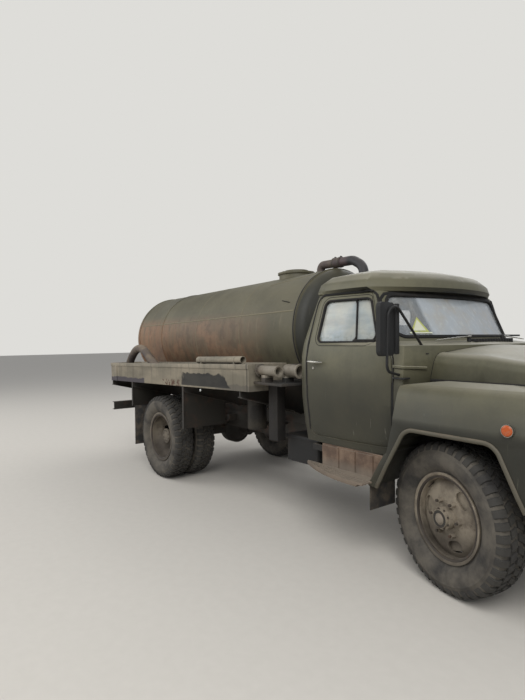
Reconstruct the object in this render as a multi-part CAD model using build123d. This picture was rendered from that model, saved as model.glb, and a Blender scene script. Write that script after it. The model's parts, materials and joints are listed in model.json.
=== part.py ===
from build123d import *
import math
import os

# Vacuum tank truck with a bonneted cab, millimetres.
# X points forward, Y to the left, Z up, and the wheels stand on Z 0.

# Overall layout
FRONT_OVERHANG = 885
WHEELBASE = 3700
TANK_FRONT = -1800
TANK_LENGTH = 3500
OUTLET_REACH = 415
REAR_OVERHANG = TANK_LENGTH - TANK_FRONT + OUTLET_REACH - WHEELBASE
FRONT_AXLE_X = (WHEELBASE + REAR_OVERHANG - FRONT_OVERHANG) / 2
REAR_AXLE_X = FRONT_AXLE_X - WHEELBASE
FRONT_END_X = FRONT_AXLE_X + FRONT_OVERHANG
REAR_END_X = REAR_AXLE_X - REAR_OVERHANG

# Wheels and tyres
TYRE_RADIUS = 477
TYRE_WIDTH = 236
RIM_FLANGE_RADIUS = 282
RIM_SEAT_RADIUS = 254
RIM_WIDTH = 170
RIM_WALL = 9
RIM_FIT = 0.3
FRONT_TRACK = 1630
REAR_TRACK = 1690
TWIN_SPACING = 280
DISC_WALL = 12
STUD_CIRCLE_RADIUS = 111.1
STUD_COUNT = 6
STUD_RADIUS = 10
HUB_RADIUS = 70
HAND_HOLE_RADIUS = 46
HAND_HOLE_COUNT = 3
HAND_HOLE_PLACE = 178
HAND_HOLE_START = 71
DRUM_RADIUS = 205
AXLE_RADIUS = 62
SPINDLE_RADIUS = 26
RUN_FIT = 0.1
AXLE_HEIGHT = TYRE_RADIUS

# Steering
STEER_AT_REST = -14
STEER_LOCK = 30
KINGPIN_Y = 720
KINGPIN_RADIUS = 16
KNUCKLE_HEIGHT = 150
STEER_ARM_LENGTH = 190
STEER_ARM_INSET = 52

# Ladder frame
FRAME_WIDTH = 865
FRAME_TOP = 790
FRAME_DEPTH = 180
FRAME_FLANGE = 60
FRAME_WALL = 8
HORN_X = FRONT_AXLE_X + 790
FRAME_REAR_X = FRONT_AXLE_X - 5180
CAB_MOUNT_HEIGHT = 10

# Cab, places along the truck are measured from the front axle
CAB_WALL = 42
CAB_FLOOR_Z = FRAME_TOP + CAB_MOUNT_HEIGHT
CAB_FLOOR_THICKNESS = 45
BELT_Z = 1590
RAIL_Z = 1962
PANEL_GAP = 5
DOOR_FRONT = -400
DOOR_REAR = -1205
DOOR_BOTTOM_Z = 852
DOOR_TOP_Z = 1990
DOOR_BEVEL = 0.22
SEAL_DEPTH = 14
SEAL_REACH = 18
GLASS_THICKNESS = 6
GLASS_SEAT = 0.3

# Bonnet
BONNET_REAR = -305
BONNET_FRONT = 735
BONNET_WALL = 25
BONNET_SILL_Z = 1322
BONNET_LIP_DROP = 20
BONNET_GAP = 6

# Fenders
FENDER_OUTER_Y = 1030
FENDER_INNER_Y = 712
FENDER_WALL = 16
FENDER_CREST_Z = 1342

# Tank
TANK_RADIUS = 618
TANK_RING_RADIUS = 628
TANK_PITCH = 1.15
TANK_HEAD = 330
TANK_CENTRE_Z = 1687

# Side trays
TRAY_OUTER_Y = 1150
TRAY_WIDTH = 430
TRAY_FRONT = -1780
TRAY_LENGTH = 3240
TRAY_HEIGHT = 240
TRAY_WALL = 6
TRAY_BOTTOM_Z = 1155

os.makedirs("parts", exist_ok=True)

NODES = {}


def fx(distance):
    """Model X of a place given ahead of the front axle."""
    return FRONT_AXLE_X + distance


def block(x0, x1, y0, y1, z0, z1):
    """Rectangular block between two corners."""
    centre = ((x0 + x1) / 2, (y0 + y1) / 2, (z0 + z1) / 2)
    return Pos(*centre) * Box(abs(x1 - x0), abs(y1 - y0), abs(z1 - z0))


def outline(points, radius=0):
    """Face inside a closed polygon, its corners rounded by one radius or a list."""
    if radius == 0:
        return make_face(Polyline(*points, close=True))
    return make_face(FilletPolyline(*points, radius=radius, close=True))


def side_slab(face, y0, y1):
    """A face drawn in X and Z, thick from y0 to y1."""
    return extrude(Plane.XZ.offset(-y1) * face, amount=y1 - y0)


def cross_slab(face, x0, x1):
    """A face drawn in Y and Z, thick from x0 to x1."""
    return extrude(Plane.YZ.offset(x0) * face, amount=x1 - x0)


def plan_slab(face, z0, z1):
    """A face drawn in X and Y, thick from z0 to z1."""
    return extrude(Plane.XY.offset(z0) * face, amount=z1 - z0)


def along_y(radius, length, x, y, z):
    """Round bar along Y, centred at the place."""
    return Pos(x, y, z) * Rot(90, 0, 0) * Cylinder(radius, length)


def along_x(radius, length, x, y, z):
    """Round bar along X, centred at the place."""
    return Pos(x, y, z) * Rot(0, 90, 0) * Cylinder(radius, length)


def upright(radius, length, x, y, z):
    """Round bar along Z, centred at the place."""
    return Pos(x, y, z) * Cylinder(radius, length)


def turned(points, x, y, z):
    """Solid of revolution about a line along Y, points as distance outward and radius."""
    face = make_face(Polyline(*points, close=True))
    return Pos(x, y, z) * revolve(Plane.YZ * face, Axis.Y)


def mirrored(shape):
    """The same piece on the other side of the truck."""
    return mirror(shape, about=Plane.XZ)


def tube_path(points, radius, bends):
    """Round bar along straight runs joined by arcs."""
    path = FilletPolyline(*points, radius=bends)
    section = Plane(origin=path @ 0, z_dir=path % 0) * Circle(radius)
    return sweep(section, path=path)


def joined(pieces):
    """All the pieces fused."""
    whole = pieces[0]
    for piece in pieces[1:]:
        whole = whole + piece
    return whole


def add(name, shape):
    NODES[name] = shape


# Ladder frame: two channel side members, cross members, horns and cab mounts
# Cross members: place, lower edge, upper edge
CROSS_MEMBERS = ((700, 614, 786), (250, 596, 650), (-1000, 706, 786), (-1900, 706, 786),
                 (-2950, 706, 786), (-4400, 640, 786), (-5120, 640, 786))
CAB_MOUNTS = (-590, -1200)
CAB_ARM_REACH = 230
FRAME_CROSS_LENGTH = 70
SPRING_HALF_WIDTH = 33
FRONT_SPRING_Y = 400
REAR_SPRING_Y = 500
FRONT_SPRING_SPAN = 590
REAR_SPRING_SPAN = 640
HANGER_LENGTH = 60


def side_member():
    outer = FRAME_WIDTH / 2
    inner = outer - FRAME_FLANGE
    bottom = FRAME_TOP - FRAME_DEPTH
    rail = block(FRAME_REAR_X, HORN_X, inner, outer, bottom, FRAME_TOP)
    hollow = block(FRAME_REAR_X - 1, HORN_X + 1, inner - 1, outer - FRAME_WALL,
                   bottom + FRAME_WALL, FRAME_TOP - FRAME_WALL)
    return rail - hollow


def spring_end(seat_z, leaves):
    """Height just above the ends of a spring whose pack stands on a seat."""
    return seat_z + leaves * LEAF_THICKNESS + SPRING_CAMBER + 3 * GLASS_SEAT


def spring_hanger(x, spring_y, eye_z, top):
    """Bracket under or beside the side member that holds one end of a spring."""
    half = HANGER_LENGTH / 2
    inner = min(FRAME_WIDTH / 2 - FRAME_WALL, spring_y - SPRING_HALF_WIDTH)
    outer = max(FRAME_WIDTH / 2, spring_y + SPRING_HALF_WIDTH)
    return block(x - half, x + half, inner, outer, eye_z, top)


FRONT_SPRING_Z = AXLE_HEIGHT - 50
REAR_SPRING_Z = AXLE_HEIGHT + AXLE_RADIUS
SPRING_CAMBER = 70
LEAF_THICKNESS = 11
FRONT_LEAVES = 6
REAR_LEAVES = 8


def make_frame():
    pieces = [side_member(), mirrored(side_member())]
    inner = FRAME_WIDTH / 2 - FRAME_WALL / 2
    for place, z0, z1 in CROSS_MEMBERS:
        x = fx(place)
        member = block(x - FRAME_CROSS_LENGTH / 2, x + FRAME_CROSS_LENGTH / 2, -inner, inner, z0, z1)
        hollow = block(x - FRAME_CROSS_LENGTH / 2 - 1, x + FRAME_CROSS_LENGTH / 2 - FRAME_WALL,
                       -inner - 1, inner + 1, z0 + FRAME_WALL, z1 - FRAME_WALL)
        pieces.append(member - hollow)
    for side in (-1, 1):
        rail = FRAME_WIDTH / 2
        for place in CAB_MOUNTS:
            x = fx(place)
            arm = block(x - 45, x + 45, side * (rail - 20), side * (rail + CAB_ARM_REACH), FRAME_TOP - 70, FRAME_TOP)
            pad = block(x - 40, x + 40, side * (rail + 100), side * (rail + 200),
                        FRAME_TOP - 5, CAB_FLOOR_Z)
            pieces += [arm, pad]
        horn = block(HORN_X - 10, FRONT_END_X - BUMPER_WALL, side * (rail - FRAME_FLANGE), side * rail,
                     FRAME_TOP - FRAME_DEPTH, BUMPER_TOP_Z - BUMPER_WALL - 10)
        pieces.append(horn)
        for end in (-1, 1):
            front_x = FRONT_AXLE_X + end * FRONT_SPRING_SPAN
            rear_x = REAR_AXLE_X + end * REAR_SPRING_SPAN
            front_eye = spring_end(FRONT_SPRING_Z, FRONT_LEAVES)
            rear_eye = spring_end(REAR_SPRING_Z, REAR_LEAVES)
            hanger = spring_hanger(front_x, FRONT_SPRING_Y, front_eye, FRAME_TOP - FRAME_DEPTH + FRAME_WALL / 2)
            rear_hanger = spring_hanger(rear_x, REAR_SPRING_Y, rear_eye, rear_eye + HANGER_LENGTH)
            if side < 0:
                hanger = mirrored(hanger)
                rear_hanger = mirrored(rear_hanger)
            pieces += [hanger, rear_hanger]
    return joined(pieces)


def leaf(half_span, camber, z, thickness, half_width, x, y):
    """One leaf: a flat bar bent upward to its ends along an arc."""
    top = ThreePointArc((-half_span, z + camber + thickness), (0, z + thickness), (half_span, z + camber + thickness))
    bottom = ThreePointArc((half_span, z + camber), (0, z), (-half_span, z + camber))
    ends = [Line(top @ 1, bottom @ 0), Line(bottom @ 1, top @ 0)]
    face = make_face(Curve() + [top, ends[0], bottom, ends[1]])
    return Pos(x, 0, 0) * side_slab(face, y - half_width, y + half_width)


def spring_pack(x, y, seat_z, span, leaves):
    """Leaf spring: the longest leaf on top, each one below shorter."""
    pieces = []
    for number in range(leaves):
        reach = span * (1 - number / (leaves + 1.0))
        camber = SPRING_CAMBER * (reach / span) ** 2
        z = seat_z + (leaves - 1 - number) * LEAF_THICKNESS
        pieces.append(leaf(reach, camber, z, LEAF_THICKNESS + 0.5, SPRING_HALF_WIDTH, x, y))
    return joined(pieces)


# Bumper
BUMPER_TOP_Z = 700
BUMPER_HEIGHT = 180
BUMPER_DEPTH = 90
BUMPER_HALF = 1060
BUMPER_WALL = 8
BUMPER_END_SWEEP = 60


def make_bumper():
    """Pressed channel, its ends swept back, open to the rear."""
    front = FRONT_END_X
    back = front - BUMPER_DEPTH
    half = BUMPER_HALF
    z0 = BUMPER_TOP_Z - BUMPER_HEIGHT

    def plan(inset):
        points = [(back - inset, -half + inset), (front - BUMPER_END_SWEEP - inset, -half + inset),
                  (front - inset, -half + 230), (front - inset, half - 230),
                  (front - BUMPER_END_SWEEP - inset, half - inset), (back - inset, half - inset)]
        return outline(points, [0, 30, 120, 120, 30, 0])

    outer = plan_slab(plan(0), z0, BUMPER_TOP_Z)
    inner = plan_slab(plan(BUMPER_WALL), z0 + BUMPER_WALL, BUMPER_TOP_Z - BUMPER_WALL)
    return outer - inner


# Engine, one plain block with its gearbox, and the radiator behind the grille
def make_engine():
    engine = block(fx(-215), fx(430), -285, 285, FRAME_TOP - FRAME_DEPTH + 40, 1185)
    gearbox = block(fx(-960), fx(-200), -150, 150, 575, FRAME_TOP - 20)
    radiator = block(fx(520), fx(590), -330, 330, FRAME_TOP - 20, 1240)
    fan_shroud = block(fx(425), fx(525), -110, 110, 840, 1060)
    return joined([engine, gearbox, radiator, fan_shroud])


# Front axle beam with its kingpins
BEAM_EYE_RADIUS = 34
BEAM_DROP_Z = AXLE_HEIGHT - 125


def make_front_axle():
    seat_z = FRONT_SPRING_Z
    end = KINGPIN_Y
    points = [(-end, AXLE_HEIGHT - 38), (-end, AXLE_HEIGHT + 38), (-KINGPIN_Y + 50, AXLE_HEIGHT + 38),
              (-FRONT_SPRING_Y - 70, seat_z), (FRONT_SPRING_Y + 70, seat_z),
              (KINGPIN_Y - 50, AXLE_HEIGHT + 38), (end, AXLE_HEIGHT + 38), (end, AXLE_HEIGHT - 38),
              (KINGPIN_Y - 60, AXLE_HEIGHT - 38), (FRONT_SPRING_Y + 50, BEAM_DROP_Z),
              (-FRONT_SPRING_Y - 50, BEAM_DROP_Z), (-KINGPIN_Y + 60, AXLE_HEIGHT - 38)]
    radii = [10, 10, 30, 40, 40, 30, 10, 10, 40, 60, 60, 40]
    beam = cross_slab(outline(points, radii), FRONT_AXLE_X - 38, FRONT_AXLE_X + 38)
    flute = cross_slab(outline([(-520, BEAM_DROP_Z + 18), (-520, seat_z - 16),
                                (520, seat_z - 16), (520, BEAM_DROP_Z + 18)], 8), 0, 25)
    beam = beam - Pos(FRONT_AXLE_X + 16, 0, 0) * flute - Pos(FRONT_AXLE_X - 16 - 25, 0, 0) * flute
    for side in (-1, 1):
        eye = upright(BEAM_EYE_RADIUS, 76, FRONT_AXLE_X, side * KINGPIN_Y, AXLE_HEIGHT)
        pin = upright(KINGPIN_RADIUS, KNUCKLE_HEIGHT + 6, FRONT_AXLE_X, side * KINGPIN_Y, AXLE_HEIGHT)
        beam = beam + eye + pin
    return beam


def make_rear_axle():
    """Banjo housing with its tubes, brake backing plates and spring seats."""
    bowl_radius = 195
    tube_end = REAR_TRACK / 2 - TWIN_SPACING / 2 - 150
    profile = make_face(Polyline((-175, 0), (-165, 70), (-120, 140), (-70, bowl_radius - 20),
                                 (-60, bowl_radius), (60, bowl_radius), (72, bowl_radius - 30),
                                 (150, 105), (190, 72), (325, 62), (325, 0), close=True))
    banjo = Pos(REAR_AXLE_X, 0, AXLE_HEIGHT) * revolve(Plane.XZ * profile, Axis.X)
    tube = along_y(AXLE_RADIUS, 2 * tube_end, REAR_AXLE_X, 0, AXLE_HEIGHT)
    housing = banjo + tube
    for side in (-1, 1):
        seat = block(REAR_AXLE_X - 60, REAR_AXLE_X + 60, side * (REAR_SPRING_Y - 45), side * (REAR_SPRING_Y + 45),
                     AXLE_HEIGHT, REAR_SPRING_Z)
        plate = along_y(DRUM_RADIUS - 12, 10, REAR_AXLE_X, side * (tube_end - 5), AXLE_HEIGHT)
        spindle = along_y(SPINDLE_RADIUS, 240, REAR_AXLE_X, side * (tube_end + 110), AXLE_HEIGHT)
        housing = housing + seat + plate + spindle
    return housing


def make_propeller_shaft():
    """Two tubes with a centre bearing, from the gearbox to the rear axle nose."""
    front = Vector(fx(-960) - 1, 0, 655)
    centre = Vector(fx(-1900), 0, 655)
    rear = Vector(REAR_AXLE_X + 332, 0, AXLE_HEIGHT + 5)
    pieces = []
    for start, end in ((front, centre), (centre, rear)):
        line = Line(start, end)
        pieces.append(sweep(Plane(origin=start, z_dir=end - start) * Circle(38), path=line))
    pieces.append(Pos(centre) * Sphere(50))
    pieces.append(block(centre.X - 20, centre.X + 20, -35, 35, 655, CROSS_MEMBERS[3][1]))
    return joined(pieces)


# Wheels
def rim_points(centre):
    """Rim and disc in distance outward from the truck and radius, for one wheel."""
    half = RIM_WIDTH / 2
    seat = RIM_SEAT_RADIUS - RIM_WALL
    flange = RIM_FLANGE_RADIUS
    return [(centre - half, flange), (centre - half + 10, flange), (centre - half + 16, RIM_SEAT_RADIUS),
            (centre + half - 16, RIM_SEAT_RADIUS), (centre + half - 10, flange), (centre + half, flange),
            (centre + half, flange - 14), (centre + half - 20, seat), (centre - half + 20, seat),
            (centre - half, flange - 14)]


def wheel_disc(centre, face):
    """Dished disc from the rim to the stud face, with oval hand holes."""
    edge = RIM_SEAT_RADIUS - RIM_WALL + 2
    stud = STUD_CIRCLE_RADIUS + 32
    wall = DISC_WALL
    points = [(centre, edge), (centre + wall, edge), (face * 0.75 + centre * 0.25 + wall, 0.5 * (edge + stud) + 8),
              (face + wall, stud), (face + wall, HUB_RADIUS - 10), (face, HUB_RADIUS - 10), (face, stud - 4),
              (face * 0.75 + centre * 0.25, 0.5 * (edge + stud) - 4)]
    disc = turned(points, 0, 0, 0)
    for number in range(HAND_HOLE_COUNT):
        angle = HAND_HOLE_START + number * 360 / HAND_HOLE_COUNT
        hole = Rot(0, angle, 0) * Pos(HAND_HOLE_PLACE, (face + centre) / 2, 0) * Rot(90, 0, 0) \
            * extrude(SlotOverall(2.5 * HAND_HOLE_RADIUS, 2 * HAND_HOLE_RADIUS * 0.8, rotation=90), 200, both=True)
        disc = disc - hole
    for number in range(STUD_COUNT):
        angle = number * 360 / STUD_COUNT
        hole = Rot(0, angle, 0) * Pos(STUD_CIRCLE_RADIUS, face, 0) * Rot(90, 0, 0) * Cylinder(STUD_RADIUS, 80)
        disc = disc - hole
    return disc


def tyre(centre, x, z):
    """Tyre with rounded shoulders that seats on the rim."""
    half = TYRE_WIDTH / 2
    bead = RIM_WIDTH / 2 - 16 - RIM_FIT
    bead_radius = RIM_SEAT_RADIUS + RIM_FIT
    points = [(-bead, bead_radius), (-bead, RIM_FLANGE_RADIUS + 8), (-half + 4, RIM_FLANGE_RADIUS + 55),
              (-half, 385), (-half + 12, 430), (-half + 26, TYRE_RADIUS - 14), (-half + 42, TYRE_RADIUS - 4),
              (0, TYRE_RADIUS), (half - 42, TYRE_RADIUS - 4), (half - 26, TYRE_RADIUS - 14),
              (half - 12, 430), (half, 385), (half - 4, RIM_FLANGE_RADIUS + 55), (bead, RIM_FLANGE_RADIUS + 8),
              (bead, bead_radius)]
    return turned(points, x, centre, z)


def steered(shape, side):
    """Turn a piece about its kingpin to where the wheels stand."""
    pin = Pos(FRONT_AXLE_X, side * KINGPIN_Y, 0)
    return pin * Rot(0, 0, STEER_AT_REST) * pin.inverse() * shape


FRONT_WHEEL_Y = FRONT_TRACK / 2
FRONT_DISC_FACE = 45
HUB_INNER_Y = KINGPIN_Y + 62


def make_front_wheel():
    """Right front rim, disc, drum and hub, before steering."""
    rim = turned(rim_points(0), 0, 0, 0)
    disc = wheel_disc(10, FRONT_DISC_FACE)
    inner = HUB_INNER_Y - FRONT_WHEEL_Y
    hub_end = FRONT_DISC_FACE + 60
    barrel = along_y(HUB_RADIUS, hub_end - inner, 0, (inner + hub_end) / 2, 0)
    cap = along_y(HUB_RADIUS - 14, 40, 0, hub_end, 0)
    drum = along_y(DRUM_RADIUS, FRONT_DISC_FACE - inner - 24, 0, (inner + FRONT_DISC_FACE) / 2, 0)
    flange = along_y(STUD_CIRCLE_RADIUS + 25, 14, 0, FRONT_DISC_FACE - 6, 0)
    bore_length = FRONT_DISC_FACE - inner + 30
    bore = along_y(SPINDLE_RADIUS + RUN_FIT, bore_length, 0, inner + bore_length / 2 - 1, 0)
    wheel = rim + disc + (barrel + cap + drum + flange - bore)
    for number in range(STUD_COUNT):
        angle = number * 360 / STUD_COUNT
        nut = Rot(0, angle, 0) * Pos(STUD_CIRCLE_RADIUS, FRONT_DISC_FACE + DISC_WALL + 8, 0) * Rot(90, 0, 0) \
            * extrude(RegularPolygon(17, 6), 22, both=True)
        wheel = wheel + nut
    return Pos(FRONT_AXLE_X, FRONT_WHEEL_Y, AXLE_HEIGHT) * wheel


def make_rear_wheel():
    """Left rear twin rims with their discs, drum and hub."""
    inner_y = REAR_TRACK / 2 - TWIN_SPACING / 2
    outer_y = inner_y + TWIN_SPACING
    middle = REAR_TRACK / 2
    rims = turned(rim_points(inner_y), 0, 0, 0) + turned(rim_points(outer_y), 0, 0, 0)
    inner_disc = wheel_disc(inner_y - 10, middle - DISC_WALL)
    outer_disc = mirrored(wheel_disc(-outer_y - 10, -middle - DISC_WALL))
    start = REAR_TRACK / 2 - TWIN_SPACING / 2 - 150 + 2
    drum = along_y(DRUM_RADIUS, middle - 40 - start, 0, (start + middle - 40) / 2, 0)
    barrel = along_y(HUB_RADIUS, middle + 150 - start, 0, (start + middle + 150) / 2, 0)
    shaft_flange = along_y(HUB_RADIUS + 14, 16, 0, middle + 142, 0)
    hub_flange = along_y(STUD_CIRCLE_RADIUS + 25, 40, 0, middle - 30, 0)
    hub = drum + barrel + hub_flange + shaft_flange
    bore_length = 245
    hub = hub - along_y(SPINDLE_RADIUS + RUN_FIT, bore_length, 0, start - 1 + bore_length / 2, 0)
    wheel = rims + inner_disc + outer_disc + hub
    for number in range(STUD_COUNT):
        angle = number * 360 / STUD_COUNT
        nut = Rot(0, angle, 0) * Pos(STUD_CIRCLE_RADIUS, middle + DISC_WALL + 8, 0) * Rot(90, 0, 0) \
            * extrude(RegularPolygon(17, 6), 22, both=True)
        wheel = wheel + nut
    return Pos(REAR_AXLE_X, 0, AXLE_HEIGHT) * wheel


def make_knuckle():
    """Left steering knuckle: fork on the kingpin, spindle and steering arm."""
    plate_y = KINGPIN_Y + 42
    top = 42
    height = KNUCKLE_HEIGHT / 2
    upper = block(-34, 34, KINGPIN_Y - 34, plate_y + 8, top, height)
    lower = block(-34, 34, KINGPIN_Y - 34, plate_y + 8, -height, -top)
    back = block(-45, 45, plate_y, HUB_INNER_Y - 2, -height, height)
    spindle = along_y(SPINDLE_RADIUS, 100, 0, HUB_INNER_Y - 2 + 49, 0)
    tip_x = -STEER_ARM_LENGTH - 24
    tip_y = KINGPIN_Y - STEER_ARM_INSET
    arm_plan = outline([(30, KINGPIN_Y + 30), (30, KINGPIN_Y - 20), (tip_x, tip_y - 24), (tip_x, tip_y + 24)], 8)
    arm = plan_slab(arm_plan, -height - 14, -height + 10)
    knuckle = joined([upper, lower, back, spindle, arm])
    knuckle = knuckle - upright(KINGPIN_RADIUS + RUN_FIT, 4 * height, 0, KINGPIN_Y, 0)
    ball_hole = upright(TIE_PIN_RADIUS + RUN_FIT, 60, -STEER_ARM_LENGTH, KINGPIN_Y - STEER_ARM_INSET, -height)
    knuckle = knuckle - ball_hole
    return Pos(FRONT_AXLE_X, 0, AXLE_HEIGHT) * knuckle


TIE_PIN_RADIUS = 9
TIE_ROD_RADIUS = 17


def arm_end(side):
    """Where the steering arm's end stands with the wheels as they are."""
    turn = math.radians(STEER_AT_REST)
    dx = -STEER_ARM_LENGTH
    dy = -side * STEER_ARM_INSET
    return (FRONT_AXLE_X + dx * math.cos(turn) - dy * math.sin(turn),
            side * KINGPIN_Y + dx * math.sin(turn) + dy * math.cos(turn))


def make_tie_rod():
    """Tie rod under the arms: it turns on the right arm's pin, its left end is open."""
    right = arm_end(-1)
    left = arm_end(1)
    z = AXLE_HEIGHT - KNUCKLE_HEIGHT / 2 - 14 - TIE_ROD_RADIUS - 4
    start = Vector(right[0], right[1], z)
    end = Vector(left[0], left[1], z)
    direction = (end - start).normalized()
    far = end - direction * 45
    rod = sweep(Plane(origin=start, z_dir=direction) * Circle(TIE_ROD_RADIUS), path=Line(start, far))
    eye = upright(28, 2 * TIE_ROD_RADIUS, right[0], right[1], z)
    pin = upright(TIE_PIN_RADIUS, 60, right[0], right[1], z + 30)
    return rod + eye + pin


# Cab body: plan sections from the sill to the crown of the roof
# Columns: height, rear, rear half width, front corner, front half width, front centre
CAB_SECTIONS = (
    (CAB_FLOOR_Z, -1310, 945, -432, 920, -428),
    (935, -1316, 962, -330, 932, -300),
    (1150, -1325, 985, -320, 955, -290),
    (1460, -1332, 983, -315, 940, -175),
    (1560, -1328, 965, -330, 912, -150),
    (BELT_Z, -1325, 957, -560, 862, -305),
    (RAIL_Z, -1268, 835, -672, 790, -548),
)
ROOF_SECTIONS = (
    (RAIL_Z, -1270, 840, -690, 796, -475),
    (1992, -1274, 850, -712, 845, -445),
    (2045, -1258, 835, -722, 826, -458),
    (2105, -1205, 765, -752, 750, -530),
    (2140, -1110, 610, -790, 592, -650),
    (2152, -1010, 380, -830, 372, -745),
)
CAB_CORNER = 95
COWL_DEPTH = 25
SIDE_BULGE = 14


def cab_plan(row, inset=0.0, height=None):
    """Plan outline of the cab: rear wall, rounded rear corners, curved sides and front."""
    z, rear, rear_half, corner, front_half, front = row
    z = height if height is not None else z
    rear_x = fx(rear) + inset
    rear_y = rear_half - inset
    corner_x = fx(corner) - inset * 0.4
    corner_y = front_half - inset
    front_x = fx(front) - inset
    radius = min(CAB_CORNER, rear_y * 0.5)
    slack = radius * (1 - math.sqrt(0.5))
    mid = ((rear_x + radius + corner_x) / 2, (rear_y + corner_y) / 2 + SIDE_BULGE)
    rear_edge = Line((rear_x, -rear_y + radius), (rear_x, rear_y - radius))
    left_corner = ThreePointArc((rear_x, rear_y - radius), (rear_x + slack, rear_y - slack), (rear_x + radius, rear_y))
    left = ThreePointArc((rear_x + radius, rear_y), mid, (corner_x, corner_y))
    nose = ThreePointArc((corner_x, corner_y), (front_x, 0), (corner_x, -corner_y))
    right = ThreePointArc((corner_x, -corner_y), (mid[0], -mid[1]), (rear_x + radius, -rear_y))
    right_corner = ThreePointArc((rear_x + radius, -rear_y), (rear_x + slack, -rear_y + slack),
                                 (rear_x, -rear_y + radius))
    face = make_face(Curve() + [rear_edge, left_corner, left, nose, right, right_corner])
    return Plane.XY.offset(z) * face


def stack(sections):
    """Ruled loft through plan sections."""
    return loft(sections, ruled=True)


def cab_outer():
    body = stack([cab_plan(row) for row in CAB_SECTIONS])
    roof = stack([cab_plan(row) for row in ROOF_SECTIONS])
    return body, roof


def cavity_sections(inset):
    """Plan sections of the room inside the cab below the rail, set in from the outer face."""
    sections = [cab_plan(CAB_SECTIONS[0], inset, CAB_FLOOR_Z + CAB_FLOOR_THICKNESS)]
    sections += [cab_plan(row, inset) for row in CAB_SECTIONS[1:4]]
    sections += [cab_plan(CAB_SECTIONS[4], inset, CAB_SECTIONS[4][0] - COWL_DEPTH)]
    sections += [cab_plan(CAB_SECTIONS[5], inset, BELT_Z - 10)]
    sections += [cab_plan(CAB_SECTIONS[6], inset)]
    return sections


def roof_cavity():
    """Room under the roof's crown."""
    wall = CAB_WALL
    return stack([cab_plan(CAB_SECTIONS[6], wall, RAIL_Z - 1), cab_plan(ROOF_SECTIONS[3], wall + 10, 2045),
                  cab_plan(ROOF_SECTIONS[4], wall + 10, 2090), cab_plan(ROOF_SECTIONS[5], wall, 2106)])


# Door outline in distance ahead of the front axle and height
DOOR_OUTLINE = ((DOOR_REAR, DOOR_BOTTOM_Z), (DOOR_FRONT - 8, DOOR_BOTTOM_Z), (DOOR_FRONT, 1150),
                (DOOR_FRONT, 1490), (-566, 1612), (-660, DOOR_TOP_Z), (DOOR_REAR - 12, DOOR_TOP_Z),
                (DOOR_REAR - 8, 1500))
DOOR_RADII = [70, 60, 0, 90, 120, 70, 80, 0]
DOOR_PLANE_Y = 985
WINDOW_OUTLINE = ((-1125, 1592), (-600, 1592), (-706, 1902), (-1118, 1902))
WINDOW_RADII = [40, 45, 45, 40]
SCREEN_OUTLINE = ((-772, 1628), (772, 1628), (722, 1926), (-722, 1926))
SCREEN_RADIUS = 75
REAR_WINDOW_OUTLINE = ((-470, 1620), (470, 1620), (450, 1880), (-450, 1880))
REAR_WINDOW_RADIUS = 60
GLASS_INSET = 16
COWL_SPLIT = -900


def grown(points, radii, amount):
    """Outline grown or shrunk all round, its corners rounded."""
    face = outline(points, radii)
    if amount == 0:
        return face
    return offset(face, amount=amount, kind=Kind.ARC)


def ahead(points):
    """Outline points given ahead of the front axle, in model X."""
    return [(fx(x), z) for x, z in points]


def door_prism(gap):
    """Left door opening: bevelled so that it is smaller inside."""
    faces = []
    for y in (DOOR_PLANE_Y + 45, DOOR_PLANE_Y - 245):
        face = grown(ahead(DOOR_OUTLINE), DOOR_RADII, gap + DOOR_BEVEL * (y - DOOR_PLANE_Y))
        faces.append(Plane.XZ.offset(-y) * face)
    return loft(faces, ruled=True)


def window_prism(fit):
    """Left side window opening, or its glass when the fit is taken off."""
    face = grown(ahead(WINDOW_OUTLINE), WINDOW_RADII, -fit)
    return side_slab(face, 500, FENDER_OUTER_Y)


def screen_prism(fit):
    face = grown(SCREEN_OUTLINE, SCREEN_RADIUS, -fit)
    return cross_slab(face, fx(COWL_SPLIT), fx(0))


def rear_window_prism(fit):
    face = grown(REAR_WINDOW_OUTLINE, REAR_WINDOW_RADIUS, -fit)
    return cross_slab(face, fx(-1500), fx(-1100))


def glass_sheet():
    """Closed skin inside the cab's outer face, from which each pane is cut."""
    outer = stack([cab_plan(row, GLASS_INSET) for row in CAB_SECTIONS[4:]])
    inner = stack([cab_plan(row, GLASS_INSET + GLASS_THICKNESS) for row in CAB_SECTIONS[4:]])
    return outer - inner


def door_flange():
    """Inner flange round the left doorway, where the closed door's seal lies."""
    band = stack(cavity_sections(CAB_WALL - 1)) - stack(cavity_sections(CAB_WALL + SEAL_DEPTH))
    ring = door_prism(PANEL_GAP + SEAL_REACH) - door_prism(-SEAL_REACH)
    door_room = door_prism(PANEL_GAP) - stack(cavity_sections(CAB_WALL + GLASS_SEAT))
    return (band & ring) - door_room


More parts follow.
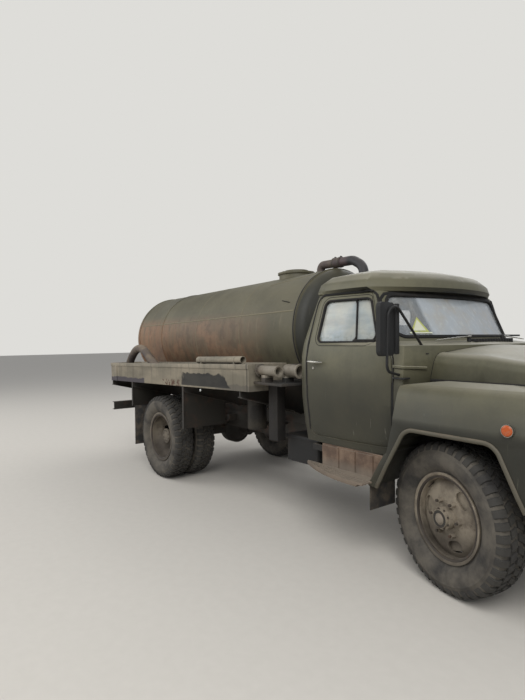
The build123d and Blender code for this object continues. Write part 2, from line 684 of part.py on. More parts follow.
def make_cab():
    """Floor, front, back, roof, doors and glass, cut from one shell."""
    body, roof = cab_outer()
    shell = body - stack(cavity_sections(CAB_WALL))
    opening = door_prism(PANEL_GAP)
    doorway = opening + mirrored(opening)
    windows = window_prism(0)
    floor_top = CAB_FLOOR_Z + CAB_FLOOR_THICKNESS
    split_x = fx(COWL_SPLIT)
    far = 1200
    floor = shell & block(fx(-1500), fx(0), -far, far, CAB_FLOOR_Z - 1, floor_top)
    upper = shell & block(fx(-1500), fx(0), -far, far, floor_top, RAIL_Z)
    flange = door_flange()
    upper = upper - doorway - screen_prism(0) - rear_window_prism(0)
    upper = upper + flange + mirrored(flange)
    front = upper & block(split_x, fx(0), -far, far, floor_top, RAIL_Z)
    back = upper & block(fx(-1500), split_x, -far, far, floor_top, RAIL_Z)
    door = (shell & door_prism(0)) - windows
    sheet = glass_sheet()
    pane = sheet & window_prism(GLASS_SEAT)
    screens = (sheet & screen_prism(GLASS_SEAT)) + (sheet & rear_window_prism(GLASS_SEAT))
    add("cab_floor", floor)
    add("cab_front", front)
    add("cab_back", back)
    add("cab_roof", roof - roof_cavity())
    add("door_left", door)
    add("door_right", mirrored(door))
    add("door_glass_left", pane)
    add("door_glass_right", mirrored(pane))
    add("cab_glass", screens)


def make_dashboard():
    """Dashboard across the cowl with the steering column held under it."""
    cavity = stack(cavity_sections(CAB_WALL + SEAL_DEPTH + 2 * GLASS_SEAT))
    dash = cavity & block(fx(-505), fx(-100), -1000, 1000, 1395, 1520)
    top = Vector(*STEERING_HUB)
    foot = Vector(fx(COLUMN_FOOT), STEERING_HUB[1], CAB_FLOOR_Z + CAB_FLOOR_THICKNESS)
    direction = (top - foot).normalized()
    end = top - direction * STEERING_HUB_HALF
    column = sweep(Plane(origin=foot, z_dir=direction) * Circle(COLUMN_RADIUS), path=Line(foot, end))
    column = column & block(fx(-1000), fx(0), 0, 1000, CAB_FLOOR_Z + CAB_FLOOR_THICKNESS, 2000)
    bore = Plane(origin=end, z_dir=direction) * Cylinder(COLUMN_RADIUS / 2 + RUN_FIT, 2 * STEERING_STUB)
    bracket = block(fx(-700), fx(-490), STEERING_HUB[1] - 20, STEERING_HUB[1] + 20, 1405, 1440)
    return dash + (column + bracket - bore)


STEERING_HUB = (fx(-735), 380, 1465)
STEERING_HUB_HALF = 22
STEERING_STUB = 60
STEERING_WHEEL_RADIUS = 212
COLUMN_FOOT = -485
COLUMN_RADIUS = 24


def make_steering_wheel():
    """Rim, three spokes and hub, on a stub that turns in the column."""
    top = Vector(*STEERING_HUB)
    foot = Vector(fx(COLUMN_FOOT), STEERING_HUB[1], CAB_FLOOR_Z + CAB_FLOOR_THICKNESS)
    direction = (top - foot).normalized()
    plane = Plane(origin=top, x_dir=(0, 1, 0), z_dir=direction)
    rim = Torus(STEERING_WHEEL_RADIUS, 12)
    hub = Cylinder(34, 2 * STEERING_HUB_HALF - 1)
    stub = Pos(0, 0, -STEERING_HUB_HALF - STEERING_STUB / 2 + 5) * Cylinder(COLUMN_RADIUS / 2, STEERING_STUB)
    wheel = rim + hub + stub
    for angle in (0, 180, 270):
        spoke = Pos(STEERING_WHEEL_RADIUS / 2, 0, 0) * Box(STEERING_WHEEL_RADIUS, 22, 10)
        wheel = wheel + Rot(0, 0, angle) * spoke
    return plane * wheel


def make_seat():
    """Bench cushion on its box, and the backrest."""
    floor = CAB_FLOOR_Z + CAB_FLOOR_THICKNESS
    box = block(fx(-1216), fx(-790), -740, 740, floor, 1100)
    posts = block(fx(-1216), fx(-1201), 380, 430, 1090, 1320)
    cushion = fillet(block(fx(-1200), fx(-740), -790, 790, 1100, 1255).edges(), 35)
    back = fillet(block(fx(-1222), fx(-1122), -780, 780, 1262, 1730).edges(), 40)
    back = Pos(fx(-1210), 0, 1260) * Rot(0, -2, 0) * Pos(-fx(-1210), 0, -1260) * back
    return box + (cushion & block(fx(-1300), fx(-700), -790, 790, 1100.3, 1300)) + back + posts + mirrored(posts)


# Bonnet sections: distance ahead, half width, sill, shoulder, corner radius, crown
BONNET_SECTIONS = (
    (-320, 704, BONNET_SILL_Z, 1440, 100, 1564),
    (100, 700, BONNET_SILL_Z, 1418, 100, 1546),
    (470, 690, BONNET_SILL_Z, 1380, 85, 1492),
    (680, 676, BONNET_SILL_Z, 1345, 50, 1420),
    (BONNET_FRONT, 664, BONNET_SILL_Z - BONNET_LIP_DROP, 1318, 26, 1360),
)
BONNET_HINGE = (fx(-272), 0, 1572)


def bonnet_section(row, inset):
    distance, half, sill, shoulder, corner, crown = row
    half = half - inset
    edge_z = shoulder + corner * 0.75 - inset * 0.8
    top = crown - inset
    lean = 5
    shoulder = shoulder - inset * 0.3
    inner = half - lean - corner
    bend = (half - lean - corner * 0.24, shoulder + (edge_z - shoulder) * 0.72)
    right = Line((half, sill), (half - lean, shoulder))
    right_corner = ThreePointArc((half - lean, shoulder), bend, (inner, edge_z))
    roof = ThreePointArc((inner, edge_z), (0, top), (-inner, edge_z))
    left_corner = ThreePointArc((-inner, edge_z), (-bend[0], bend[1]), (-half + lean, shoulder))
    left = Line((-half + lean, shoulder), (-half, sill))
    base = Line((-half, sill), (half, sill))
    face = make_face(Curve() + [right, right_corner, roof, left_corner, left, base])
    return Plane.YZ.offset(fx(distance)) * face


def cab_clearance(gap):
    """The cab's front grown by a gap, carried on upward, to cut what stands against it."""
    rows = CAB_SECTIONS[:5]
    sections = [cab_plan(row, -gap) for row in rows] + [cab_plan(rows[4], -gap, BELT_Z + 60)]
    return stack(sections)


def cab_skin_room():
    """The cab's whole body grown by a seat's clearance, to cut what stands on it."""
    return stack([cab_plan(row, -GLASS_SEAT) for row in CAB_SECTIONS])


def make_bonnet():
    """Bonnet shell with a rolled front lip, its rear edge following the cowl."""
    outer = loft([bonnet_section(row, 0) for row in BONNET_SECTIONS], ruled=True)
    inner_rows = BONNET_SECTIONS[:4]
    last = BONNET_SECTIONS[4]
    inner_rows = inner_rows + ((BONNET_FRONT - BONNET_WALL, 668, BONNET_SILL_Z - 18, 1322, 30, 1372),)
    inner = loft([bonnet_section((row[0], row[1], 1200, row[3], row[4], row[5]), BONNET_WALL)
                  for row in inner_rows], ruled=True)
    return outer - inner - cab_clearance(BONNET_GAP)


# Fenders: side outline ahead of the front axle and height
FENDER_OUTLINE = ((-562, 590), (-474, 590), (-235, 1012), (345, 1008), (508, 672), (735, 672), (752, 1020),
                  (640, 1300), (300, FENDER_CREST_Z), (0, FENDER_CREST_Z), (-200, 1318), (-334, 1300),
                  (-340, 1050), (-390, 846), (-408, 836))
FENDER_RADII = [6, 6, 95, 95, 20, 40, 160, 190, 300, 300, 60, 10, 60, 8, 8]
FENDER_CAVITY = ((-588, 500), (-390, 840), (-372, 858), (-324, 1050), (-318, 1290), (-190, 1300), (300, 1326), (622, 1282),
                 (734, 1016), (717, 500))
FENDER_CAVITY_RADII = [0, 8, 8, 60, 20, 60, 280, 180, 150, 0]
SPLASH_BOTTOM_Z = 985
LAMP_Y = 868
LAMP_Z = 1052
LAMP_RADIUS = 104
LAMP_NOSE_X = fx(800)


def fender_crown(inset):
    """Cross section of a fender: crowned top, round shoulder, upright side."""
    inner = FENDER_INNER_Y + inset
    outer = FENDER_OUTER_Y - inset
    top = FENDER_CREST_Z - inset
    points = [(inner, 450), (outer - 25, 450), (outer, 760), (outer, 1080), (outer - 60, top - 45),
              (outer - 170, top), (inner, top - 26)]
    return outline(points, [0, 0, 60, 120, 130, 160, 0])


def make_fender():
    """Left fender: skin with rolled arch, splash panel inside and lamp seat in its nose."""
    outer = side_slab(outline(ahead(FENDER_OUTLINE), FENDER_RADII), FENDER_INNER_Y - 5, FENDER_OUTER_Y + 5)
    outer = outer & cross_slab(fender_crown(0), fx(-700), fx(900))
    cavity = side_slab(outline(ahead(FENDER_CAVITY), FENDER_CAVITY_RADII), FENDER_INNER_Y - 10, FENDER_OUTER_Y + 10)
    hollow = cavity & cross_slab(fender_crown(FENDER_WALL), fx(-700), fx(900))
    below = cavity & block(fx(-700), fx(900), FENDER_INNER_Y - 9, FENDER_INNER_Y + 40, 400, SPLASH_BOTTOM_Z)
    lamp_seat = along_x(LAMP_RADIUS + GLASS_SEAT, 200, fx(740), LAMP_Y, LAMP_Z)
    marker_seat = along_x(SIDE_LAMP_RADIUS + GLASS_SEAT, 200, fx(740), LAMP_Y, SIDE_LAMP_Z)
    return outer - hollow - below - lamp_seat - marker_seat - cab_clearance(GLASS_SEAT)


SIDE_LAMP_Z = 845
SIDE_LAMP_RADIUS = 42
MARKER_X = fx(435)
MARKER_Z = 1110
MARKER_RADIUS = 34


def make_lamps():
    """Headlamps, side lamps in the noses and the markers on the fenders' sides."""
    pieces = []
    for side in (-1, 1):
        x = fx(710)
        shell = along_x(LAMP_RADIUS, LAMP_NOSE_X - x, (x + LAMP_NOSE_X) / 2, side * LAMP_Y, LAMP_Z)
        lens = Pos(LAMP_NOSE_X - 150, side * LAMP_Y, LAMP_Z) * Sphere(175)
        shell = shell + (lens & block(LAMP_NOSE_X - 2, LAMP_NOSE_X + 60, side * LAMP_Y - 88, side * LAMP_Y + 88,
                                      LAMP_Z - 88, LAMP_Z + 88))
        small = along_x(SIDE_LAMP_RADIUS, 90, fx(750), side * LAMP_Y, SIDE_LAMP_Z)
        marker = along_y(MARKER_RADIUS, 22, MARKER_X, side * (FENDER_OUTER_Y + 11 + GLASS_SEAT), MARKER_Z)
        pieces += [shell, small, marker]
    return joined(pieces)


# Front panel with the grille bars
GRILLE_BARS = 7
GRILLE_HALF = 590
GRILLE_Z = (850, 1240)
PANEL_X = (694, 722)
PANEL_TOP_Z = 1292


def make_front_panel():
    half = FENDER_INNER_Y - GLASS_SEAT
    face = outline([(-half, FRAME_TOP + 2), (half, FRAME_TOP + 2), (half, PANEL_TOP_Z), (-half, PANEL_TOP_Z)], 14)
    hole = outline([(-GRILLE_HALF, GRILLE_Z[0]), (GRILLE_HALF, GRILLE_Z[0]), (GRILLE_HALF, GRILLE_Z[1]),
                    (-GRILLE_HALF, GRILLE_Z[1])], 60)
    panel = cross_slab(face, fx(PANEL_X[0]), fx(PANEL_X[1])) - cross_slab(hole, fx(600), fx(800))
    pitch = (GRILLE_Z[1] - GRILLE_Z[0]) / (GRILLE_BARS + 1)
    for number in range(GRILLE_BARS):
        z = GRILLE_Z[0] + (number + 1) * pitch
        bar = block(fx(PANEL_X[0] + 2), fx(PANEL_X[1] + 14), -GRILLE_HALF - 8, GRILLE_HALF + 8, z - 11, z + 11)
        panel = panel + bar
    brace = block(fx(590) + GLASS_SEAT, fx(PANEL_X[0] + 4), -300, -260, 1180, 1225)
    lip_x = BONNET_SECTIONS[3][0]
    fall = (PANEL_X[1] - lip_x) / (BONNET_FRONT - lip_x)
    pad_top = BONNET_SILL_Z - BONNET_LIP_DROP * fall - GLASS_SEAT
    pad = block(fx(PANEL_X[1] - 9), fx(PANEL_X[1] - 1), 390, 450, PANEL_TOP_Z - 4, pad_top)
    fittings = brace + pad
    return panel + fittings + mirrored(fittings)


# Steps under the doors
STEP_TREAD_Z = 605
STEP_RISER_Y = 945
STEP_RISER_TOP = 797
# Upright edges of the riser's pressed panels
STEP_PANELS = (-1086, -902, -735, -567, -474)
# Bowed edge of the tread: place, side
STEP_EDGE = ((-1245, 962), (-761, 1136), (-478, 1146))


def make_step():
    """Left step: panelled riser below the sill and a tread with a bowed edge."""
    rear, crest, front = [(fx(place), side) for place, side in STEP_EDGE]
    inner = STEP_RISER_Y - 6
    edge = [Line((front[0], inner), (rear[0], inner)), Line((rear[0], inner), rear),
            ThreePointArc(rear, crest, front), Line(front, (front[0], inner))]
    tread = plan_slab(make_face(Curve() + edge), STEP_TREAD_Z, STEP_TREAD_Z + 24)
    riser = block(fx(STEP_PANELS[0]), fx(STEP_PANELS[-1]), STEP_RISER_Y - 14, STEP_RISER_Y,
                  STEP_TREAD_Z, STEP_RISER_TOP)
    bar = block(fx(CAB_MOUNTS[1]) + 5, fx(STEP_PANELS[0]) + 5, STEP_RISER_Y - 14, STEP_RISER_Y, 728, 775)
    step = tread + riser + bar
    for start, end in zip(STEP_PANELS, STEP_PANELS[1:]):
        step = step + block(fx(start + 7), fx(end - 7), STEP_RISER_Y - 2, STEP_RISER_Y + 9,
                            STEP_TREAD_Z + 24, STEP_RISER_TOP - 14)
    for place in CAB_MOUNTS:
        inner = FRAME_WIDTH / 2 + CAB_ARM_REACH
        step = step + block(fx(place) + 5, fx(place) + 42, inner + GLASS_SEAT, STEP_RISER_Y - 10, 728, 775)
    beside = grown(ahead(FENDER_OUTLINE), FENDER_RADII, GLASS_SEAT)
    return step - side_slab(beside, FENDER_INNER_Y, FENDER_OUTER_Y + 300)


def make_mudflap():
    """Left front rubber flap below the fender's rear end."""
    return block(fx(-556), fx(-548), FENDER_INNER_Y + 25, FENDER_OUTER_Y - 25, 415, 590 - GLASS_SEAT)


def make_mirror():
    """Left mirror: tube loop from the cowl with the mirror head on its upright run."""
    loop = tube_path([(fx(-300), 750, 1548), (fx(-285), 1130, 1905), (fx(-300), 1130, 1400), (fx(-352), 925, 1362)],
                     9, [70, 60])
    head_face = outline([(-98, -172), (98, -172), (98, 172), (-98, 172)], 38)
    head = extrude(Plane.YZ * head_face, amount=30)
    head = Pos(fx(-326), 1130, 1670) * Rot(0, 0, -12) * head
    return loop + head - cab_skin_room()


def make_wiper():
    """Left wiper: pivot on the cowl, arm and blade along the foot of the screen."""
    pivot_x = fx(-262)
    pivot = upright(15, 70, pivot_x, 240, 1590)
    arm = Pos(pivot_x - 12, 330, 1621) * Rot(0, 0, 8) * Box(12, 210, 6)
    blade = Pos(fx(-296), 470, 1624) * Rot(0, 0, 12) * Box(9, 400, 14)
    return pivot + arm + blade - cab_skin_room()


# Tank: profile ahead of its front ring and radius, turned about its own axis
FRONT_KNUCKLE = 110
REAR_KNUCKLE = 180
TANK_FRONT_HEAD = 230
RING_HALF = 14
# Rings: place, half width, radius
TANK_RINGS = ((0, RING_HALF, TANK_RING_RADIUS), (-2760, 7, TANK_RADIUS + 6), (-TANK_LENGTH + 20, 8, TANK_RADIUS + 8))
HATCH_PLACE = -650
HATCH_RADIUS = 190
HATCH_NECK_TOP = TANK_RADIUS + 26
HATCH_LID = 22
HATCH_PIN_RADIUS = 8
OUTLET_DROP = 400
OUTLET_RADIUS = 55
OUTLET_FLANGE_RADIUS = 88


def tilted(shape):
    """Seat a tank piece: its axis falls towards the rear."""
    return Pos(fx(TANK_FRONT), 0, TANK_CENTRE_Z) * Rot(0, -TANK_PITCH, 0) * shape


def head_arcs(depth, knuckle):
    """Dished head from the shell's end to the axis: a knuckle arc, then a crown arc centred on the axis."""
    reach = TANK_RADIUS - knuckle
    crown = (reach ** 2 + depth ** 2 - knuckle ** 2) / (2 * (depth - knuckle))
    lean = math.atan2(reach, crown - depth)
    middle = (lean + math.pi / 2) / 2

    def on_knuckle(angle):
        return (knuckle * math.cos(angle), reach + knuckle * math.sin(angle))

    def on_crown(angle):
        return (depth - crown + crown * math.cos(angle), crown * math.sin(angle))

    return [(on_knuckle(math.pi / 2), on_knuckle(middle), on_knuckle(lean)),
            (on_crown(lean), on_crown(lean / 2), (depth, 0))]


def tank_profile():
    """Half outline of the tank above its axis, heads included."""
    front = [ThreePointArc(*arc) for arc in head_arcs(TANK_FRONT_HEAD, FRONT_KNUCKLE)]
    rear = [ThreePointArc(*[(-TANK_LENGTH - x, r) for x, r in arc]) for arc in head_arcs(TANK_HEAD, REAR_KNUCKLE)]
    top = Line((-TANK_LENGTH, TANK_RADIUS), (0, TANK_RADIUS))
    base = Line((-TANK_LENGTH - TANK_HEAD, 0), (TANK_FRONT_HEAD, 0))
    return make_face(Curve() + [top, *front, base, *rear])


def make_tank():
    """Solid tank with its rings, hatch neck with hinge ears, and rear outlet."""
    profile = tank_profile()
    for place, half, radius in TANK_RINGS:
        profile = profile + make_face(Polyline((place - half, TANK_RADIUS - 60), (place + half, TANK_RADIUS - 60),
                                               (place + half, radius), (place - half, radius), close=True))
    body = revolve(Plane.XZ * profile, Axis.X)
    neck = upright(HATCH_RADIUS, 200, HATCH_PLACE, 0, HATCH_NECK_TOP - 100)
    ears_x = HATCH_PLACE - HATCH_RADIUS - 32
    ear_z = HATCH_NECK_TOP + HATCH_LID / 2
    tank = body + neck
    for side in (-1, 1):
        ear = block(ears_x - 16, ears_x + 16, side * 28, side * 44, TANK_RADIUS - 30, ear_z)
        boss = along_y(16, 16, ears_x, side * 36, ear_z)
        tank = tank + ear + boss
    tank = tank + along_y(HATCH_PIN_RADIUS, 88, ears_x, 0, ear_z)
    outlet_start = -TANK_LENGTH - 200
    pitch = math.radians(TANK_PITCH)
    outlet_end = REAR_END_X - fx(TANK_FRONT) - (OUTLET_DROP - OUTLET_FLANGE_RADIUS) * math.sin(pitch)
    outlet_end = outlet_end / math.cos(pitch)
    pipe = along_x(OUTLET_RADIUS, outlet_start - outlet_end, (outlet_start + outlet_end) / 2, 0, -OUTLET_DROP)
    flange = along_x(OUTLET_FLANGE_RADIUS, 26, outlet_end + 13, 0, -OUTLET_DROP)
    valve = along_x(OUTLET_FLANGE_RADIUS - 12, 60, outlet_end + 95, 0, -OUTLET_DROP)
    tank = tank + pipe + flange + valve
    stub = upright(TOP_PIPE_RADIUS + 14, 60, TOP_PIPE_PLACE, 0, TANK_RADIUS + STUB_HEIGHT - 30)
    return tilted(tank + stub)


def hatch_hinge():
    """Place of the lid's pin in the model."""
    pitch = math.radians(TANK_PITCH)
    x = HATCH_PLACE - HATCH_RADIUS - 32
    z = HATCH_NECK_TOP + HATCH_LID / 2
    return (fx(TANK_FRONT) + x * math.cos(pitch) - z * math.sin(pitch), 0,
            TANK_CENTRE_Z + z * math.cos(pitch) + x * math.sin(pitch))


def make_hatch_lid():
    """Round lid with a raised centre and a knuckle round the pin."""
    base_z = HATCH_NECK_TOP + 0.5
    lid = upright(HATCH_RADIUS + 14, HATCH_LID, HATCH_PLACE, 0, base_z + HATCH_LID / 2)
    centre = upright(HATCH_RADIUS - 60, 30, HATCH_PLACE, 0, base_z + HATCH_LID + 8)
    pin_x = HATCH_PLACE - HATCH_RADIUS - 32
    pin_z = HATCH_NECK_TOP + HATCH_LID / 2
    arm = block(pin_x, HATCH_PLACE - HATCH_RADIUS + 10, -27, 27, pin_z - 8, pin_z + 8)
    knuckle = along_y(16, 54, pin_x, 0, pin_z)
    lid = lid + centre + arm + knuckle
    lid = lid - along_y(HATCH_PIN_RADIUS + RUN_FIT, 100, pin_x, 0, pin_z)
    return tilted(lid)


# Top pipe and hose, from the tank's crown down behind the cab to the valve block
TOP_PIPE_RADIUS = 42
TOP_PIPE_PLACE = -260
HOSE_RADIUS = 46
SLEEVE_RADIUS = 52
HOSE_START = (fx(-1770), 0, 2375)
STUB_HEIGHT = 10
VALVE_BLOCK = (fx(-1600), fx(-1350), -400, -300, 1235, 1400)
# Suction pipes on the shelf, open to the front: mouth's place, side, radius
SUCTION_PIPES = ((-1489, -1050, 43), (-1366, -920, 54))
SUCTION_Z = 1342
SUCTION_WALL = 8
SUCTION_BORE = 115
SUCTION_TURN_PLACE = -1570
SUCTION_REAR = -1755
SHELF_TOP = 1245


def make_top_pipe():
    """Elbow from the tank's crown with the clamped sleeve of the hose."""
    x = fx(TANK_FRONT + TOP_PIPE_PLACE - 12.5)
    tank_top = TANK_CENTRE_Z + TANK_RADIUS + STUB_HEIGHT + 1.5 + TOP_PIPE_PLACE * math.tan(math.radians(TANK_PITCH))
    pipe = tube_path([(x, 0, tank_top), (x, 0, HOSE_START[2]), (HOSE_START[0], 0, HOSE_START[2])],
                     TOP_PIPE_RADIUS, [50])
    sleeve = along_x(SLEEVE_RADIUS, 110, HOSE_START[0] - 55, 0, HOSE_START[2])
    return pipe + sleeve


def make_top_hose():
    """Hose held between the sleeve and the valve block."""
    x0, y0, z0 = HOSE_START
    drop_x = fx(-1432)
    block_y = (VALVE_BLOCK[2] + VALVE_BLOCK[3]) / 2
    points = [(x0, y0, z0), (x0 + 150, y0, z0), (drop_x - 40, y0 - 25, z0 - 75), (drop_x + 25, y0 - 80, z0 - 240),
              (drop_x, block_y, z0 - 560), (drop_x, block_y, VALVE_BLOCK[5])]
    return tube_path(points, HOSE_RADIUS, [150, 190, 240, 260])


def make_vacuum_set():
    """Pump on its feet, valve block, suction pipes, vent post and moisture trap."""
    pump_z = FRAME_TOP + 152
    pump = along_x(138, 290, fx(-1550), 0, pump_z)
    feet = block(fx(-1680), fx(-1420), -180, 180, FRAME_TOP - 100, pump_z - 60)
    feet = feet & block(fx(-1680), fx(-1420), -380, 380, FRAME_TOP, pump_z)
    bearer = block(fx(-1600), fx(-1500), -FRAME_WIDTH / 2, FRAME_WIDTH / 2, FRAME_TOP, FRAME_TOP + 24)
    x0, x1, y0, y1, z0, z1 = VALVE_BLOCK
    body = block(x0, x1, y0, y1, z0, z1)
    link = tube_path([(fx(-1480), -40, pump_z + 60), (fx(-1480), -40, 1295), (fx(-1480), y1 - 10, 1295)], 34, [70])
    blind, bent = SUCTION_PIPES
    length = blind[0] - SUCTION_REAR
    pipes = along_x(blind[2], length, fx(SUCTION_REAR + length / 2), blind[1], SUCTION_Z)
    pipes = pipes + along_x(blind[2] + 14, 16, fx(SUCTION_REAR + 8), blind[1], SUCTION_Z)
    turn_x = fx(SUCTION_TURN_PLACE)
    pipes = pipes + tube_path([(fx(bent[0]), bent[1], SUCTION_Z), (turn_x, bent[1], SUCTION_Z),
                               (turn_x, y0 + 5, SUCTION_Z)], bent[2], [75])
    for place, side, radius in SUCTION_PIPES:
        lip = along_x(radius + 7, 14, fx(place - 7), side, SUCTION_Z)
        chock = block(fx(place - 185), fx(place - 135), side - 45, side + 45, SHELF_TOP - 5, SUCTION_Z - radius + 6)
        pipes = pipes + lip + chock
    for place, side, radius in SUCTION_PIPES:
        pipes = pipes - along_x(radius - SUCTION_WALL, SUCTION_BORE * 2, fx(place), side, SUCTION_Z)
    vent = upright(24, 1410, fx(-1545), 280, FRAME_TOP + 10 + 705)
    cap = upright(40, 60, fx(-1545), 280, 2215)
    leg = block(fx(-1600), fx(-1420), -400, -340, FRAME_TOP, z0 + 5)
    post = block(fx(-1760), fx(-1640), -950, -860, 720, 1230)
    shelf = block(fx(TRAY_FRONT + 15), fx(-1385), -1110, -440, SHELF_TOP - 20, SHELF_TOP)
    shelf = shelf + block(fx(-1590), fx(-1385), -450, -350, SHELF_TOP - 20, SHELF_TOP)
    trap = upright(95, 290, fx(-2205), -750, 885)
    strap = block(fx(-2300), fx(-2110), -660, FRAME_WIDTH / -2 - GLASS_SEAT, 760, 775)
    return joined([pump, feet, bearer, body, link, pipes, vent, cap, leg, post, shelf, trap, strap])


# Cradle: bearers on the side members, saddles with arms that carry the trays
BEARER_WIDTH = 60
SADDLE_PLACES = (-1940, -2990, -4320, -5010)
SADDLE_THICKNESS = 14
TRAY_PITCH = 1.5
BEARER_TOP = 800
BEARER_FRONT = -1850


def tank_bottom(place, below):
    """Height of a line parallel to the tank's axis, a given way below it."""
    return TANK_CENTRE_Z - below + (place - TANK_FRONT) * math.tan(math.radians(TANK_PITCH))


def tray_bottom(place):
    return TRAY_BOTTOM_Z + (place - TRAY_FRONT) * math.tan(math.radians(TRAY_PITCH))


def make_cradle():
    """Wedge bearers, tank saddles, tray arms and the wheel guards that hang from them."""
    rear = SADDLE_PLACES[-1] - 90
    face = outline([(fx(BEARER_FRONT), FRAME_TOP), (fx(BEARER_FRONT), tank_bottom(BEARER_FRONT, BEARER_TOP)),
                    (fx(rear), tank_bottom(rear, BEARER_TOP)), (fx(rear), FRAME_TOP)])
    outer = FRAME_WIDTH / 2
    bearer = side_slab(face, outer - BEARER_WIDTH, outer)
    pieces = [bearer, mirrored(bearer)]
    tank_room = tilted(along_x(TANK_RADIUS + GLASS_SEAT, 9000, 0, 0, 0))
    rings = tilted(along_x(TANK_RING_RADIUS + 2, 60, 0, 0, 0))
    for place in SADDLE_PLACES:
        base = tank_bottom(place, BEARER_TOP) - 10
        tray = tray_bottom(place) - 2 * GLASS_SEAT
        reach = TRAY_OUTER_Y - 12
        inner = TRAY_OUTER_Y - TRAY_WIDTH - 1
        half = [(0, base), (outer, base), (outer + 90, base + 45), (reach, tray - 62), (reach, tray),
                (inner, tray), (inner, tray + 60),
                (520, tray + 120), (0, tray + 120)]
        wing = cross_slab(outline(half), fx(place) - SADDLE_THICKNESS / 2, fx(place) + SADDLE_THICKNESS / 2)
        flange = cross_slab(outline([(outer, base), (outer + 90, base + 45), (reach, tray - 62), (reach, tray - 52),
                                     (outer + 86, base + 56), (outer, base + 12)]), fx(place) - 32, fx(place) + 32)
        side = (wing + flange) - tank_room
        pieces += [side, mirrored(side)]
    for place, z0, z1, y0 in GUARD_PLATES:
        x = fx(place)
        guard = block(x - 3, x + 3, y0, TRAY_OUTER_Y, z0, tray_bottom(place) - GLASS_SEAT)
        lip = block(x - 3, x + 30, TRAY_OUTER_Y - 6, TRAY_OUTER_Y, z0, tray_bottom(place - 30) - GLASS_SEAT)
        pieces += [guard + lip, mirrored(guard + lip)]
    return joined(pieces)


# Wheel guard plates: place, lower edge, upper edge, inner side
GUARD_PLATES = ((-3000, 670, 1110, 610), (-4330, 790, 1080, 610))


def make_trays():
    """Left hose tray: folded trough with end plates and a turned rim."""
    outer = TRAY_OUTER_Y
    inner = outer - TRAY_WIDTH
    length = TRAY_LENGTH
    height = TRAY_HEIGHT
    wall = TRAY_WALL
    trough = block(-length, 0, inner, outer, 0, height)
    hollow = block(-length + wall, -wall, inner + wall, outer - wall, wall, height + 1)
    rim = block(-length, 0, outer - 1, outer + 7, height - 42, height)
    post = block(-length + 170, -length + 205, outer - 1, outer + 9, 0, height - 30)
    tray = (trough - hollow) + rim + post
    return Pos(fx(TRAY_FRONT), 0, TRAY_BOTTOM_Z) * Rot(0, -TRAY_PITCH, 0) * tray


# Pipe stowed on the right tray's outer wall: its ends behind the tray's front, radius, height over the floor
STOWED_PIPE = (-930, -145)
STOWED_PIPE_RADIUS = 35
STOWED_PIPE_WALL = 5
STOWED_PIPE_Z = TRAY_HEIGHT + STOWED_PIPE_RADIUS + 1
STOWED_PIPE_Y = TRAY_OUTER_Y - 46


def make_stowed_pipe():
    """Left twin of the short pipe that lies on two brackets inside the tray's outer wall."""
    start, end = STOWED_PIPE
    pipe = along_x(STOWED_PIPE_RADIUS, end - start, (start + end) / 2, STOWED_PIPE_Y, STOWED_PIPE_Z)
    bore = along_x(STOWED_PIPE_RADIUS - STOWED_PIPE_WALL, 150, end, STOWED_PIPE_Y, STOWED_PIPE_Z)
    for place in (start + 90, end - 110):
        face = outline([(STOWED_PIPE_Y - 30, STOWED_PIPE_Z), (STOWED_PIPE_Y - 30, STOWED_PIPE_Z - 60),
                        (TRAY_OUTER_Y - TRAY_WALL / 2, 40), (TRAY_OUTER_Y - TRAY_WALL / 2, STOWED_PIPE_Z - 45),
                        (STOWED_PIPE_Y + 20, STOWED_PIPE_Z)])
        pipe = pipe + cross_slab(face, place - 4, place + 4)
    return Pos(fx(TRAY_FRONT), 0, TRAY_BOTTOM_Z) * Rot(0, -TRAY_PITCH, 0) * (pipe - bore)


# Suction hose lying loose in the right tray with its rear part bowed up
LOOSE_HOSE_RADIUS = 50
LOOSE_HOSE_CREST_Z = 1690


def loose_hose_route():
    """Points of the hose: along the tray's floor, up to the bow and down onto the floor again."""
    floor = TRAY_WALL + 1
    lying = floor + LOOSE_HOSE_RADIUS
    return [(fx(-3050), -970, tray_bottom(-3050) + lying), (fx(-3750), -1020, tray_bottom(-3750) + lying),
            (fx(-4500), -1020, LOOSE_HOSE_CREST_Z),
            (fx(-4900), -985, tray_bottom(-4900) + floor + 0.75 * LOOSE_HOSE_RADIUS)]


def easy_bends(points):
    """Bend radius at each inner point of a loose hose, eased over the shorter of its two runs."""
    bends = []
    for before, point, after in zip(points, points[1:], points[2:]):
        first = Vector(*point) - Vector(*before)
        second = Vector(*after) - Vector(*point)
        turn = math.radians(first.get_angle(second))
        bends.append(0.45 * min(first.length, second.length) / math.tan(turn / 2))
    return bends


def make_loose_hose():
    route = loose_hose_route()
    bends = easy_bends(route)
    print("loose hose bend radii", [round(bend) for bend in bends])
    return tube_path(route, LOOSE_HOSE_RADIUS, bends)


def make_rear_flap():
    """Left rear rubber flap hung on the guard plate behind the twin wheels."""
    x = fx(GUARD_PLATES[1][0])
    return block(x - 3 - GLASS_SEAT - 8, x - 3 - GLASS_SEAT, 640, 1110, 290, 850)


def make_fuel_tank():
    """Rounded tank on the left, outside the frame, with its two straps and brackets."""
    y0 = FRAME_WIDTH / 2 + 22
    face = outline([(y0, 430), (y0 + 400, 430), (y0 + 400, 780), (y0, 780)], 60)
    tank = cross_slab(face, fx(-2330), fx(-1500))
    for place in (-2180, -1650):
        band = cross_slab(offset(face, amount=4), fx(place) - 20, fx(place) + 20)
        arm = block(fx(place) - 20, fx(place) + 20, FRAME_WIDTH / 2 + GLASS_SEAT, y0 + 10, 630, 760)
        tank = tank + band + arm
    cap = along_y(38, 50, fx(-1580), y0 + 400 + 10, 715)
    return tank + cap


